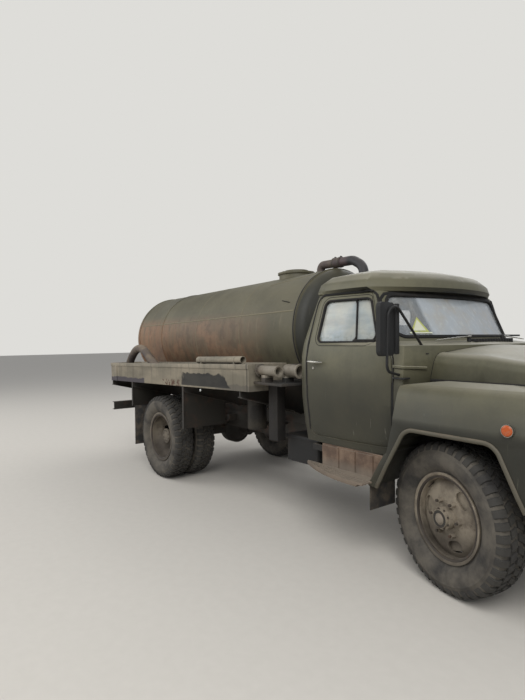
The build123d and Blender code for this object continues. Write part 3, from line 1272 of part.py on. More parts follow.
def make_battery_box():
    """Battery box on the right under the cab's rear edge, with its bracket and lid lip."""
    y1 = -FRAME_WIDTH / 2 - 60
    y0 = y1 - 330
    box = fillet(block(fx(-1665), fx(-1265), y0, y1, 545, 745).edges().filter_by(Axis.Z), 18)
    lid = block(fx(-1673), fx(-1257), y0 - 8, y1 + 8, 745, 775)
    arms = block(fx(-1600), fx(-1560), y1 - 10, -FRAME_WIDTH / 2 - GLASS_SEAT, 640, 700)
    arms = arms + block(fx(-1320), fx(-1280), y1 - 10, -FRAME_WIDTH / 2 - GLASS_SEAT, 640, 700)
    return box + lid + arms


def make_silencer():
    """Exhaust silencer inside the left side member, with its pipes."""
    y = 560
    drum = along_x(78, 560, fx(-900), y, 560)
    front = tube_path([(fx(-640), y, 560), (fx(-520), y, 560), (fx(-470), y - 60, 585)], 28, [60])
    rear = tube_path([(fx(-1160), y, 560), (fx(-1330), y, 560), (fx(-1420), y + 130, 540)], 28, [80])
    hanger = block(fx(-915), fx(-885), FRAME_WIDTH / 2 + GLASS_SEAT, y, 612, 640)
    return joined([drum, front, rear, hanger])


def make_tail():
    """Rear cross beam on the side members' ends with its lamps and blank plate."""
    x = FRAME_REAR_X - GLASS_SEAT
    beam = block(x - 60, x, -1060, 1060, FRAME_TOP - 150, FRAME_TOP - 40)
    hollow = block(x - 61, x - 8, -1070, 1070, FRAME_TOP - 142, FRAME_TOP - 48)
    beam = beam - hollow
    for side in (-1, 1):
        beam = beam + block(x - 100, x - 8, side * 800, side * 1000, FRAME_TOP - 145, FRAME_TOP - 45)
    return beam


def make_springs():
    pieces = []
    for side in (-1, 1):
        pieces.append(spring_pack(FRONT_AXLE_X, side * FRONT_SPRING_Y, FRONT_SPRING_Z + GLASS_SEAT,
                                  FRONT_SPRING_SPAN, FRONT_LEAVES))
        pieces.append(spring_pack(REAR_AXLE_X, side * REAR_SPRING_Y, REAR_SPRING_Z + GLASS_SEAT,
                                  REAR_SPRING_SPAN, REAR_LEAVES))
    return joined(pieces)


def export_all():
    for name, shape in NODES.items():
        export_step(shape, f"parts/{name}.step")


def pair(name, shape):
    """A left piece and its mirrored right twin under one node name."""
    add(name, shape + mirrored(shape))


if __name__ == "__main__":
    add("frame", make_frame())
    add("front_bumper", make_bumper())
    add("engine_block", make_engine())
    add("front_axle", make_front_axle())
    add("rear_axle", make_rear_axle())
    add("leaf_springs", make_springs())
    add("propeller_shaft", make_propeller_shaft())
    knuckle = make_knuckle()
    add("knuckle_left", steered(knuckle, 1))
    add("knuckle_right", steered(mirrored(knuckle), -1))
    add("tie_rod", make_tie_rod())
    front = make_front_wheel()
    add("front_wheel_left", steered(front, 1))
    add("front_wheel_right", steered(mirrored(front), -1))
    front_tyre = tyre(FRONT_WHEEL_Y, FRONT_AXLE_X, AXLE_HEIGHT)
    add("front_tyre_left", steered(front_tyre, 1))
    add("front_tyre_right", steered(mirrored(front_tyre), -1))
    rear = make_rear_wheel()
    add("rear_wheels_left", rear)
    add("rear_wheels_right", mirrored(rear))
    inner_tyre = tyre(REAR_TRACK / 2 - TWIN_SPACING / 2, REAR_AXLE_X, AXLE_HEIGHT)
    outer_tyre = tyre(REAR_TRACK / 2 + TWIN_SPACING / 2, REAR_AXLE_X, AXLE_HEIGHT)
    add("rear_tyres_left", inner_tyre + outer_tyre)
    add("rear_tyres_right", mirrored(inner_tyre + outer_tyre))
    make_cab()
    add("dashboard", make_dashboard())
    add("steering_wheel", make_steering_wheel())
    add("seat", make_seat())
    add("bonnet", make_bonnet())
    fender = make_fender()
    add("fender_left", fender)
    add("fender_right", mirrored(fender))
    add("lamps", make_lamps())
    add("front_panel", make_front_panel())
    pair("cab_steps", make_step())
    pair("mirrors", make_mirror())
    pair("wipers", make_wiper())
    pair("mudflaps", make_mudflap() + make_rear_flap())
    add("tank", make_tank())
    add("hatch_lid", make_hatch_lid())
    add("top_pipe", make_top_pipe())
    add("top_hose", make_top_hose())
    add("vacuum_set", make_vacuum_set())
    add("tank_cradle", make_cradle())
    tray = make_trays()
    add("hose_trays", tray + mirrored(tray + make_stowed_pipe()))
    add("loose_hose", make_loose_hose())
    add("fuel_tank", make_fuel_tank())
    add("battery_box", make_battery_box())
    add("silencer", make_silencer())
    add("tail_beam", make_tail())
    export_all()
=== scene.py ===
"""Looks of an old bonneted vacuum tank truck: finishes, tyres, seals, seams and small fittings."""

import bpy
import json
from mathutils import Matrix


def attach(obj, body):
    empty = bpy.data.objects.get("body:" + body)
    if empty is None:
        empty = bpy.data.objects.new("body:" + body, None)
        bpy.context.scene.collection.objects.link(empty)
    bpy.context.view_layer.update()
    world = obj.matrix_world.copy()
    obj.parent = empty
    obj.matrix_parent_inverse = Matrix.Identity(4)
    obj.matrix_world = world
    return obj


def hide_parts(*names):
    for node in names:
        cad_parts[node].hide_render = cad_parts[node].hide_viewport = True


bl_info = {
    "name": "Vacuum tank truck",
    "version": (1, 0, 0),
    "blender": (4, 5, 0),
    "location": "View3D > Sidebar > Truck",
    "description": "Dresses a bonneted vacuum tank truck piece by piece round its packed frame",
    "category": "Object",
}

import json
import math

import bmesh
import bpy
from bpy.props import FloatProperty, FloatVectorProperty, IntProperty, PointerProperty
from mathutils import Matrix, Vector
from mathutils.bvhtree import BVHTree

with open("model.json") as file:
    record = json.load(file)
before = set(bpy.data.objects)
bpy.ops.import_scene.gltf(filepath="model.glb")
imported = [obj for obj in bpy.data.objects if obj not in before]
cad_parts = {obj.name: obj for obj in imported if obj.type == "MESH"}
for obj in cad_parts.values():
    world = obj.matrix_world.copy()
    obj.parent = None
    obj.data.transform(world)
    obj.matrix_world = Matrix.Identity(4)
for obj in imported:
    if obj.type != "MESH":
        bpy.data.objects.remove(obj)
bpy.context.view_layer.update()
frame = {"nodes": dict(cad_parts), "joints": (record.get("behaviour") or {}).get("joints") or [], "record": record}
JOINTS = {joint["name"]: joint for joint in frame["joints"]}

# The front axle stands here; many places below are given ahead of it
FRONT_AXLE_X = JOINTS["kingpin_left"]["pos_m"][0]
# The tank and the trays fall towards the rear
TANK_TURN = Matrix.Rotation(-math.radians(1.15), 4, "Y")
TANK_CENTRE = Vector((FRONT_AXLE_X - 1.8, 0, 1.687))
TRAY_FALL = math.tan(math.radians(1.5))
TRAY_FRONT = -1.78
TRAY_FOOT_Z = 1.155
SIDES = ((1, "left"), (-1, "right"))


def ahead(distance):
    """X of a place given ahead of the front axle."""
    return FRONT_AXLE_X + distance


def placed(place, side=1):
    """Vector of a place on one side of the truck, given ahead of the front axle, outward and up."""
    x, y, z = place
    return Vector((ahead(x), side * y, z))


def linear(*levels):
    """Linear colour from the 0 to 255 levels of a picture."""
    shares = [level / 255 for level in levels]
    return tuple(s / 12.92 if s <= 0.04045 else ((s + 0.055) / 1.055) ** 2.4 for s in shares)


class TruckColours(bpy.types.PropertyGroup):
    """Colours of the paint, dust and rust."""
    olive: FloatVectorProperty(name="Olive", description="Cab paint", subtype="COLOR",
                               default=linear(92, 89, 68))
    olive_shade: FloatVectorProperty(name="Dark olive", description="Cab paint where it kept its depth",
                                     subtype="COLOR", default=linear(70, 69, 53))
    tank_olive: FloatVectorProperty(name="Tank olive", description="Tank paint", subtype="COLOR",
                                    default=linear(96, 91, 70))
    rust: FloatVectorProperty(name="Rust", description="Rust-brown stain", subtype="COLOR",
                              default=linear(134, 98, 70))
    deep_rust: FloatVectorProperty(name="Deep rust", description="Rust that has bitten in", subtype="COLOR",
                                   default=linear(78, 50, 36))
    dust: FloatVectorProperty(name="Dust", description="Road dust", subtype="COLOR",
                              default=linear(122, 108, 90))
    tray_beige: FloatVectorProperty(name="Tray beige", description="Tray paint", subtype="COLOR",
                                    default=linear(140, 131, 114))
    rubber: FloatVectorProperty(name="Rubber", description="Clean rubber", subtype="COLOR",
                                default=linear(44, 42, 40))


class TruckSizes(bpy.types.PropertyGroup):
    """Sizes of the modelled detail."""
    tread_pitches: IntProperty(name="Tread pitches", description="Tread blocks round one tyre",
                               default=42, min=20)
    tread_depth: FloatProperty(name="Tread depth", description="Height of the tread blocks", default=0.013,
                               subtype="DISTANCE", unit="LENGTH")
    seal_width: FloatProperty(name="Seal width", description="Width of the window seals", default=0.016,
                              subtype="DISTANCE", unit="LENGTH")
    weld_half: FloatProperty(name="Weld half width", description="Half width of a weld bead", default=0.006,
                             subtype="DISTANCE", unit="LENGTH")


def colours():
    return bpy.context.scene.truck_colours


def sizes():
    return bpy.context.scene.truck_sizes


class Field:
    """A value or vector running through a material's nodes; arithmetic on it adds the nodes."""

    def __init__(self, finish, socket):
        self.finish = finish
        self.socket = socket

    def maths(self, operation, *others):
        return self.finish.node("ShaderNodeMath", dict(enumerate((self, *others))), operation=operation)

    def __add__(self, other):
        return self.maths("ADD", other)

    __radd__ = __add__

    def __mul__(self, other):
        return self.maths("MULTIPLY", other)

    __rmul__ = __mul__

    def __sub__(self, other):
        return self.maths("SUBTRACT", other)

    def __rsub__(self, other):
        return self.finish.node("ShaderNodeMath", {0: other, 1: self}, operation="SUBTRACT")

    def most(self, other):
        return self.maths("MAXIMUM", other)

    def between(self, low, high):
        """0 below low, 1 above high, eased in between."""
        inputs = {"Value": self, "From Min": low, "From Max": high}
        return self.finish.node("ShaderNodeMapRange", inputs, interpolation_type="SMOOTHSTEP")


class Finish:
    """One material with its nodes."""

    def __init__(self, name):
        self.material = bpy.data.materials.new(name)
        self.material.use_nodes = True
        self.tree = self.material.node_tree
        self.tree.nodes.clear()
        self.place = self.node("ShaderNodeTexCoord", output="Object")

    def feed(self, socket, value):
        if isinstance(value, Field):
            self.tree.links.new(value.socket, socket)
        elif hasattr(value, "__len__") and len(value) == 3 and len(getattr(socket, "default_value", ())) == 4:
            socket.default_value = (*value, 1)
        else:
            socket.default_value = value

    def node(self, kind, inputs=None, output=0, **settings):
        """Add a node: its settings first, then the values or links of its sockets."""
        made = self.tree.nodes.new(kind)
        for key, value in settings.items():
            setattr(made, key, value)
        for key, value in (inputs or {}).items():
            self.feed(made.inputs[key], value)
        return Field(self, made.outputs[output])

    def axis(self, letter):
        """One coordinate of the place on the truck, in metres."""
        return self.node("ShaderNodeSeparateXYZ", {0: self.place}, output=letter)

    def facing(self, letter):
        """How far the surface faces along one axis of the truck."""
        normal = self.node("ShaderNodeTexCoord", output="Normal")
        return self.node("ShaderNodeSeparateXYZ", {0: normal}, output=letter)

    def noise(self, scale, stretch=(1, 1, 1), shift=0.0, detail=4.0, roughness=0.55, distortion=0.0):
        """Cloudy noise; scale is in patches per metre, stretch squeezes it along each axis."""
        squeezed = self.node("ShaderNodeVectorMath", {0: self.place, 1: stretch}, operation="MULTIPLY")
        step = (shift, shift * 0.7, shift * 1.3)
        moved = self.node("ShaderNodeVectorMath", {0: squeezed, 1: step}, operation="ADD")
        inputs = {"Vector": moved, "Scale": scale, "Detail": detail, "Roughness": roughness,
                  "Distortion": distortion}
        return self.node("ShaderNodeTexNoise", inputs)

    def mix(self, share, first, second, blend="MIX"):
        """Colour that goes from first to second as the share goes from 0 to 1."""
        return self.node("ShaderNodeMix", {0: share, 6: first, 7: second}, output=2,
                         data_type="RGBA", blend_type=blend, clamp_factor=True)

    def surface(self, colour, roughness=0.6, metallic=0.0, height=None, depth=0.002, **fixed):
        """Close the material: height is a bump field, depth its size in metres."""
        shader = self.tree.nodes.new("ShaderNodeBsdfPrincipled")
        self.feed(shader.inputs["Base Color"], colour)
        self.feed(shader.inputs["Roughness"], roughness)
        self.feed(shader.inputs["Metallic"], metallic)
        for key, value in fixed.items():
            self.feed(shader.inputs[key.replace("_", " ").title().replace("Ior", "IOR")], value)
        if height is not None:
            bump = self.node("ShaderNodeBump", {"Height": height, "Strength": 1.0, "Distance": depth})
            self.feed(shader.inputs["Normal"], bump)
        out = self.tree.nodes.new("ShaderNodeOutputMaterial")
        self.tree.links.new(shader.outputs[0], out.inputs["Surface"])
        return self.material


def worn_paint(name):
    """Cab finish: matt paint with a painted sky sheen on top and painted shade low down and below, run with dirt,
    dusty and rusted in spots.
    """
    rusting = 0.25
    dusting = 0.4
    streaking = 0.3
    finish = Finish(name)
    c = colours()
    clouds = finish.noise(1.7, detail=6, roughness=0.6)
    fine = finish.noise(38, detail=5, roughness=0.65)
    streaks = finish.noise(1.0, stretch=(16, 16, 1.3), detail=5, roughness=0.6)
    colour = finish.mix(clouds.between(0.35, 0.68), c.olive_shade, c.olive)
    colour = finish.mix(streaks.between(0.52, 0.8) * streaking, colour, linear(48, 45, 36))
    # Dust low down and on what faces up
    height = finish.axis("Z")
    low = 1 - height.between(0.45, 1.35)
    upward = finish.facing("Z").between(0.35, 0.98)
    drifts = finish.noise(5.5, shift=3.1, detail=6).between(0.3, 0.72)
    dusty = (low * 0.75 + upward * 0.5) * drifts * dusting
    colour = finish.mix(dusty, colour, c.dust)
    # Rust spots in brown rings
    patches = finish.noise(7.5, shift=9.7, detail=8, roughness=0.68, distortion=0.4)
    rust = patches.between(0.735 - 0.12 * rusting, 0.775 - 0.12 * rusting)
    halo = patches.between(0.66 - 0.12 * rusting, 0.76 - 0.12 * rusting) * 0.5
    colour = finish.mix(halo * rusting, colour, c.rust)
    colour = finish.mix(rust, colour, c.deep_rust)
    colour = finish.mix((fine - 0.5) * 0.16 + 0.08, colour, linear(150, 144, 120))
    # Painted shade: darker on upright panels and low down, most of all on the fenders, and black underneath
    tilt = finish.facing("Z")
    upright = (1 - tilt.between(-0.06, 0.3)) * (1 - height.between(1.25, 1.5))
    colour = finish.mix(upright, colour, linear(172, 172, 168), blend="MULTIPLY")
    # Painted shade low down, deepest on the fenders ahead of the door
    forward = finish.axis("X").between(ahead(-0.55), ahead(-0.35))
    colour = finish.mix((1 - height.between(1.0, 1.42)) * (forward * 0.42 + 0.3), colour, linear(22, 23, 19))
    # Painted shade on what faces down, such as the roof's lip
    colour = finish.mix((1 - tilt.between(-0.9, -0.3)) * 0.85, colour, linear(16, 17, 17))
    # Painted sky sheen on the bonnet and roof, scraped doors and fenders
    sky = tilt.between(0.55, 1.0) * height.between(1.24, 1.36)
    colour = finish.mix(sky * (clouds * 0.3 + 0.25), colour, linear(170, 165, 148))
    scrapes = finish.noise(1.0, stretch=(70, 70, 3.5), detail=4, shift=31.0).between(0.67, 0.73)
    colour = finish.mix(scrapes * (1 - height.between(1.05, 1.35)) * 0.4, colour, linear(112, 110, 96))
    rough = (fine - 0.5) * 0.2 + 0.55 + dusty * 0.25 + rust * 0.2
    bumps = finish.noise(3.2, shift=1.4, detail=2) * 1.2 + fine * 0.06 - rust * 0.35
    return finish.surface(colour, rough, 0.0, bumps, 0.0035)


def tank_paint(name):
    """Tank finish: olive above, rust-brown runs below and to the rear, painted shade on the front head and a dark
    stain low at the front.
    """
    finish = Finish(name)
    c = colours()
    x = finish.axis("X")
    z = finish.axis("Z")
    clouds = finish.noise(1.3, detail=6, roughness=0.6, shift=2.0)
    fine = finish.noise(45, detail=5, roughness=0.65)
    runs = finish.noise(1.0, stretch=(9, 9, 0.8), detail=7, roughness=0.65, shift=5.0)
    colour = finish.mix(clouds.between(0.34, 0.68), linear(80, 76, 58), c.tank_olive)
    # Brown runs below the side seam, redder at the bottom, with pale patches, dark specks and streaks
    rearward = 1 - (x + clouds * 0.5).between(-0.15, 0.55)
    below = 1 - z.between(1.76, 1.95)
    bottom = 1 - z.between(1.2, 1.75)
    rusty = rearward * below * runs.between(0.2, 0.55)
    brown = finish.mix(1 - x.between(-2.5, -1.2), linear(112, 90, 70), c.rust)
    colour = finish.mix(rusty * 0.75, colour, brown)
    lower = rearward * bottom * runs.between(0.42, 0.6)
    colour = finish.mix(lower * 0.5, colour, linear(104, 68, 46))
    patch = finish.noise(2.2, stretch=(1, 1, 1.6), detail=8, roughness=0.65, shift=12.0)
    colour = finish.mix(rearward * below * patch.between(0.5, 0.62) * 0.45, colour, linear(138, 104, 78))
    speckle = finish.noise(16, stretch=(1, 1, 0.5), detail=6, shift=22.0).between(0.5, 0.62)
    colour = finish.mix(rearward * below * speckle * 0.35, colour, linear(66, 54, 44))
    black = finish.noise(1.0, stretch=(26, 26, 0.9), detail=5, shift=15.0).between(0.6, 0.72)
    colour = finish.mix(rearward * black * 0.4, colour, linear(52, 44, 36))
    # Painted shade darkening the front head, pale runs and the dark stain low at the front
    # Painted shade on the front head, where the cab shades it
    head = x.between(ahead(-1.8), ahead(-1.77)) * (1 - z.between(1.95, 2.35) * 0.45)
    colour = finish.mix(head * 0.9, colour, linear(32, 33, 28))
    pale = finish.noise(1.0, stretch=(22, 22, 1.6), detail=4, shift=8.0).between(0.55, 0.78)
    colour = finish.mix(pale * below * 0.35, colour, linear(134, 120, 96))
    forward = x.between(-0.25, 0.3) * (1 - z.between(1.3, 1.62)) * runs.between(0.45, 0.62)
    colour = finish.mix(forward * 0.8, colour, linear(38, 36, 31))
    # Rust spots, and the faded top
    spots = finish.noise(11, shift=4.4, detail=8, roughness=0.7).between(0.68, 0.72)
    colour = finish.mix(spots * 0.8, colour, c.deep_rust)
    upward = finish.facing("Z").between(0.45, 1.0)
    faded = finish.noise(4, detail=6).between(0.35, 0.7) * 0.3
    colour = finish.mix(upward * faded, colour, linear(118, 112, 92))
    bumps = finish.noise(2.2, shift=1.4, detail=2) * 1.4 + fine * 0.07 - spots * 0.3
    return finish.surface(colour, (fine - 0.5) * 0.2 + 0.6, 0.0, bumps, 0.004)


def peeling_paint(name):
    """Tray finish: weathered beige, a torn dark patch, a dark foot at the rear, rust spots between."""
    finish = Finish(name)
    c = colours()
    x = finish.axis("X")
    fine = finish.noise(60, detail=5, roughness=0.65)
    clouds = finish.noise(3.0, stretch=(0.6, 1, 1.6), detail=7)
    colour = finish.mix(clouds.between(0.35, 0.66), linear(112, 106, 92), c.tray_beige)
    streaks = finish.noise(1.0, stretch=(24, 24, 2.0), detail=5, shift=3.0)
    colour = finish.mix(streaks.between(0.48, 0.75) * 0.55, colour, linear(84, 79, 68))
    # Rise above the tray's falling foot, and the waver of the torn edges
    rise = finish.axis("Z") - x * TRAY_FALL - (TRAY_FOOT_Z - ahead(TRAY_FRONT) * TRAY_FALL)
    edge = (finish.noise(9, stretch=(1, 1, 0.5), shift=6.2, detail=7, roughness=0.6) - 0.5) * 0.22
    dark = linear(40, 37, 33)

    def past(start, end, along=x + edge):
        """1 forward of a ragged edge between two places ahead of the front axle."""
        return along.between(ahead(start), ahead(end))

    torn = past(-3.02, -2.99) * (1 - past(-2.06, -2.03, x + edge + rise * 1.4))
    torn = torn * (1 - (rise + edge * 0.5).between(0.135, 0.145)) * rise.between(0.012, 0.02)
    foot = (1 - (rise + edge * 0.25).between(0.05, 0.062)) * (1 - past(-3.98, -3.94))
    low = (1 - (rise + edge * 0.4).between(0.045, 0.06)) * past(-2.3, -2.28)
    colour = finish.mix(foot, colour, linear(70, 65, 70))
    colour = finish.mix(low * 0.6, colour, linear(82, 78, 72))
    bare = finish.mix(clouds.between(0.4, 0.6), linear(38, 37, 35), linear(55, 53, 48))
    colour = finish.mix(torn, colour, bare)
    # Rust spots behind the torn patch, the dark post before it, and painted shade on the underside
    between = past(-3.5, -3.44) * (1 - past(-3.0, -2.97))
    spots = finish.noise(22, shift=7.7, detail=7, roughness=0.7)
    rust = between * (1 - rise.between(0.05, 0.08)) * spots.between(0.5, 0.56)
    rust = rust.most(spots.between(0.69, 0.73) * 0.8)
    colour = finish.mix(rust, colour, c.deep_rust)
    post = past(-1.822, -1.818, x) * (1 - past(-1.806, -1.802, x))
    colour = finish.mix(post * 0.75, colour, dark)
    # Painted shade on what faces down
    under = 1 - finish.facing("Z").between(-0.8, -0.3)
    colour = finish.mix(under * 0.8, colour, dark)
    bumps = fine * 0.12 - torn * 0.3 - rust * 0.2 + clouds * 0.6
    return finish.surface(colour, 0.68 + fine * 0.1, 0.0, bumps, 0.003)


def step_paint(name):
    """Step finish: rusty pink-beige, dustier at its foot and on top, with painted shade where it faces the battery
    box.
    """
    finish = Finish(name)
    clouds = finish.noise(9, detail=7, roughness=0.6)
    fine = finish.noise(80, detail=4)
    colour = finish.mix(clouds.between(0.35, 0.66), linear(82, 64, 51), linear(114, 94, 77))
    spots = finish.noise(16, shift=5.0, detail=8, roughness=0.7)
    colour = finish.mix(spots.between(0.58, 0.68) * 0.6, colour, linear(70, 50, 38))
    low = 1 - finish.axis("Z").between(0.64, 0.72)
    colour = finish.mix(low * 0.6, colour, linear(112, 104, 92))
    # Painted shade on the part that faces the battery box
    behind = 1 - finish.axis("X").between(ahead(-1.092), ahead(-1.088))
    colour = finish.mix(behind * finish.axis("Z").between(0.7, 0.71), colour, linear(30, 28, 25))
    upward = finish.facing("Z").between(0.5, 1.0)
    colour = finish.mix(upward * 0.5, colour, linear(128, 119, 105))
    return finish.surface(colour, fine * 0.15 + 0.7, 0.0, fine * 0.3 + spots * 0.6, 0.002)


def dusty_metal(name, base, rust=0.4, dust=0.5, rough=0.6):
    """Metal under dust and rust; base is its colour in picture levels."""
    finish = Finish(name)
    c = colours()
    clouds = finish.noise(6, detail=7, roughness=0.62)
    fine = finish.noise(70, detail=4)
    upward = finish.facing("Z").between(-0.1, 0.95)
    colour = finish.mix(clouds.between(0.52, 0.7) * rust, linear(*base), c.deep_rust)
    dusty = upward * finish.noise(9, shift=2.0, detail=6).between(0.25, 0.7) * dust
    colour = finish.mix(dusty + fine * dust * 0.15, colour, c.dust)
    return finish.surface(colour, rough + dusty * 0.25, 0.0, fine * 0.3 + clouds * 0.5, 0.0015)


def wheel_paint(name):
    """Wheel finish: brown dust over dark paint, painted shade low down, darker on the rear wheels."""
    finish = Finish(name)
    clouds = finish.noise(8, detail=7, roughness=0.6)
    fine = finish.noise(90, detail=4)
    colour = finish.mix(clouds.between(0.3, 0.62), linear(92, 83, 71), linear(136, 126, 110))
    spots = finish.noise(24, shift=5.0, detail=7, roughness=0.7)
    colour = finish.mix(spots.between(0.58, 0.68) * 0.6, colour, linear(66, 52, 42))
    # Painted shade on the lower part of each wheel
    colour = finish.mix((1 - finish.axis("Z").between(0.3, 0.52)) * 0.65, colour, linear(46, 40, 34))
    colour = finish.mix((1 - finish.axis("X").between(0, 0.1)) * 0.45, colour, linear(52, 45, 38))
    return finish.surface(colour, fine * 0.12 + 0.66, 0.0, fine * 0.25 + clouds * 0.4, 0.0012)


def tyre_rubber(name, dust=0.8, dusty=(100, 94, 84)):
    """Tyre rubber under road dust."""
    finish = Finish(name)
    c = colours()
    clouds = finish.noise(7, detail=7, roughness=0.6)
    fine = finish.noise(120, detail=4)
    colour = finish.mix(clouds.between(0.25, 0.7) * dust, c.rubber, linear(*dusty))
    marks = finish.noise(1.0, stretch=(30, 4, 30), detail=5, shift=4.0)
    colour = finish.mix(marks.between(0.55, 0.75) * 0.35, colour, linear(52, 48, 44))
    return finish.surface(colour, 0.82 + fine * 0.1, 0.0, fine * 0.35 + clouds * 0.25, 0.0012)


def plain_rubber(name, base=(40, 39, 38), dust=0.35, rough=0.7):
    """Hoses, seals, flaps and plastic under a little dust."""
    finish = Finish(name)
    fine = finish.noise(110, detail=4)
    clouds = finish.noise(10, detail=6)
    upward = finish.facing("Z").between(0.0, 1.0)
    colour = finish.mix((clouds.between(0.4, 0.7) + upward * 0.5) * dust, linear(*base), colours().dust)
    return finish.surface(colour, rough + fine * 0.12, 0.0, fine * 0.3, 0.0008)


def window_glass(name):
    """Clear glass with a dirty film and a painted sky reflection that makes the windscreen's right end paler."""
    finish = Finish(name)
    film = finish.noise(6, detail=7, roughness=0.65).between(0.4, 0.75)
    fine = finish.noise(60, detail=4)
    rain = finish.noise(1.0, stretch=(30, 30, 5), detail=6, shift=7.0).between(0.5, 0.75)
    colour = finish.mix(film, linear(184, 190, 194), linear(176, 173, 164))
    # Painted sky reflection: paler, less clear glass on the windscreen's right end
    windscreen = finish.axis("X").between(ahead(-0.9), ahead(-0.85))
    pale = (finish.axis("Y") + film * 0.02).between(-0.47, -0.43) * windscreen
    material = finish.surface(colour, film * 0.2 + 0.04, 0.0, fine * 0.02, 0.001, ior=1.5,
                              alpha=film * 0.1 + fine * 0.06 + rain * 0.14 + pale * 0.46 + 0.2)
    material.surface_render_method = "BLENDED"
    return material


def side_glass(name):
    """Door glass under a pale film of dust that lies thicker towards its foot."""
    finish = Finish(name)
    film = finish.noise(4, detail=6, roughness=0.6)
    smears = finish.noise(1.0, stretch=(3, 3, 12), detail=5, shift=2.0)
    colour = finish.mix(film.between(0.35, 0.7), linear(158, 170, 174), linear(186, 186, 176))
    low = 1 - finish.axis("Z").between(1.58, 1.68)
    fine = finish.noise(30, detail=6).between(0.45, 0.7)
    colour = finish.mix(low * fine * 0.6, colour, linear(110, 112, 104))
    material = finish.surface(colour, film * 0.12 + 0.04, 0.0, fine * 0.02, 0.001, ior=1.5,
                              alpha=smears.between(0.3, 0.75) * 0.22 + 0.62)
    material.surface_render_method = "BLENDED"
    return material


def top_hose_rubber(name):
    """Black hose whose end in the clamp is purple-brown."""
    finish = Finish(name)
    fine = finish.noise(90, detail=4)
    upward = finish.facing("Z").between(0.2, 1.0)
    start = 1 - (finish.axis("X") + finish.noise(20) * 0.04).between(ahead(-1.69), ahead(-1.62))
    colour = finish.mix(start, linear(40, 39, 40), linear(74, 60, 60))
    colour = finish.mix(upward * 0.28, colour, linear(104, 96, 90))
    return finish.surface(colour, 0.5 + fine * 0.2, 0.0, fine * 0.3, 0.001)


def pipe_paint(name):
    """Vacuum set: dark iron with a brown trap and post darkened by painted shade, the suction pipes and the vent
    beige.
    """
    finish = Finish(name)
    x, y, z = (finish.axis(letter) for letter in "XYZ")
    clouds = finish.noise(6, detail=7, roughness=0.62)
    fine = finish.noise(70, detail=4)
    colour = finish.mix(clouds.between(0.35, 0.7) * 0.6, linear(38, 37, 34), linear(72, 62, 52))
    # Brown trap and post, both darkened as painted shade
    trap = 1 - x.between(ahead(-2.09), ahead(-2.08))
    trap_brown_and_shade = finish.mix(clouds.between(0.4, 0.62), linear(50, 45, 36), linear(30, 26, 21))
    colour = finish.mix(trap, colour, trap_brown_and_shade)
    outer = 1 - y.between(-0.86, -0.85)
    post = outer * (1 - z.between(1.22, 1.23)) * (1 - trap)
    post_brown_and_shade = finish.mix(clouds.between(0.4, 0.6), linear(28, 24, 20), linear(20, 17, 15))
    colour = finish.mix(post, colour, post_brown_and_shade)
    pipes = outer * z.between(1.281, 1.284)
    bright = finish.mix(clouds.between(0.45, 0.68), linear(126, 119, 106), linear(90, 79, 65))
    colour = finish.mix(pipes * (x.between(ahead(-1.74), ahead(-1.7)) * 0.6 + 0.4), colour, bright)
    vent = z.between(1.6, 1.62)
    vent_beige = finish.mix(z.between(2.17, 2.19), linear(150, 140, 120), linear(84, 74, 60))
    colour = finish.mix(vent, colour, vent_beige)
    return finish.surface(colour, 0.62 + fine * 0.15, 0.0, fine * 0.3 + clouds * 0.5, 0.0015)


def lamp_glass(name, tint, alpha=0.85):
    """Lamp lens with vertical flutes."""
    finish = Finish(name)
    flutes = finish.node("ShaderNodeTexWave", {"Vector": finish.place, "Scale": 45, "Distortion": 0.4},
                         bands_direction="Y", output="Fac")
    dirt = finish.noise(30, detail=5).between(0.45, 0.75)
    colour = finish.mix(dirt * 0.4, linear(*tint), colours().dust)
    return finish.surface(colour, dirt * 0.3 + 0.12, 0.0, flutes, 0.001, alpha=alpha)


def bright_metal(name, base=(170, 168, 160), rough=0.25):
    """Worn chrome, and the mirrors' faces."""
    finish = Finish(name)
    spots = finish.noise(60, detail=6).between(0.5, 0.7)
    colour = finish.mix(spots * 0.6, linear(*base), linear(96, 84, 70))
    return finish.surface(colour, spots * 0.35 + rough, 1 - spots * 0.6, spots * -0.3, 0.0006)


def seat_cover(name):
    """Worn dark vinyl with fine grain."""
    finish = Finish(name)
    grain = finish.node("ShaderNodeTexVoronoi", {"Vector": finish.place, "Scale": 220}, output="Distance")
    clouds = finish.noise(8, detail=5)
    colour = finish.mix(clouds.between(0.3, 0.7), linear(46, 38, 32), linear(66, 56, 47))
    return finish.surface(colour, 0.6 + grain * 0.1, 0.0, grain, 0.0008)


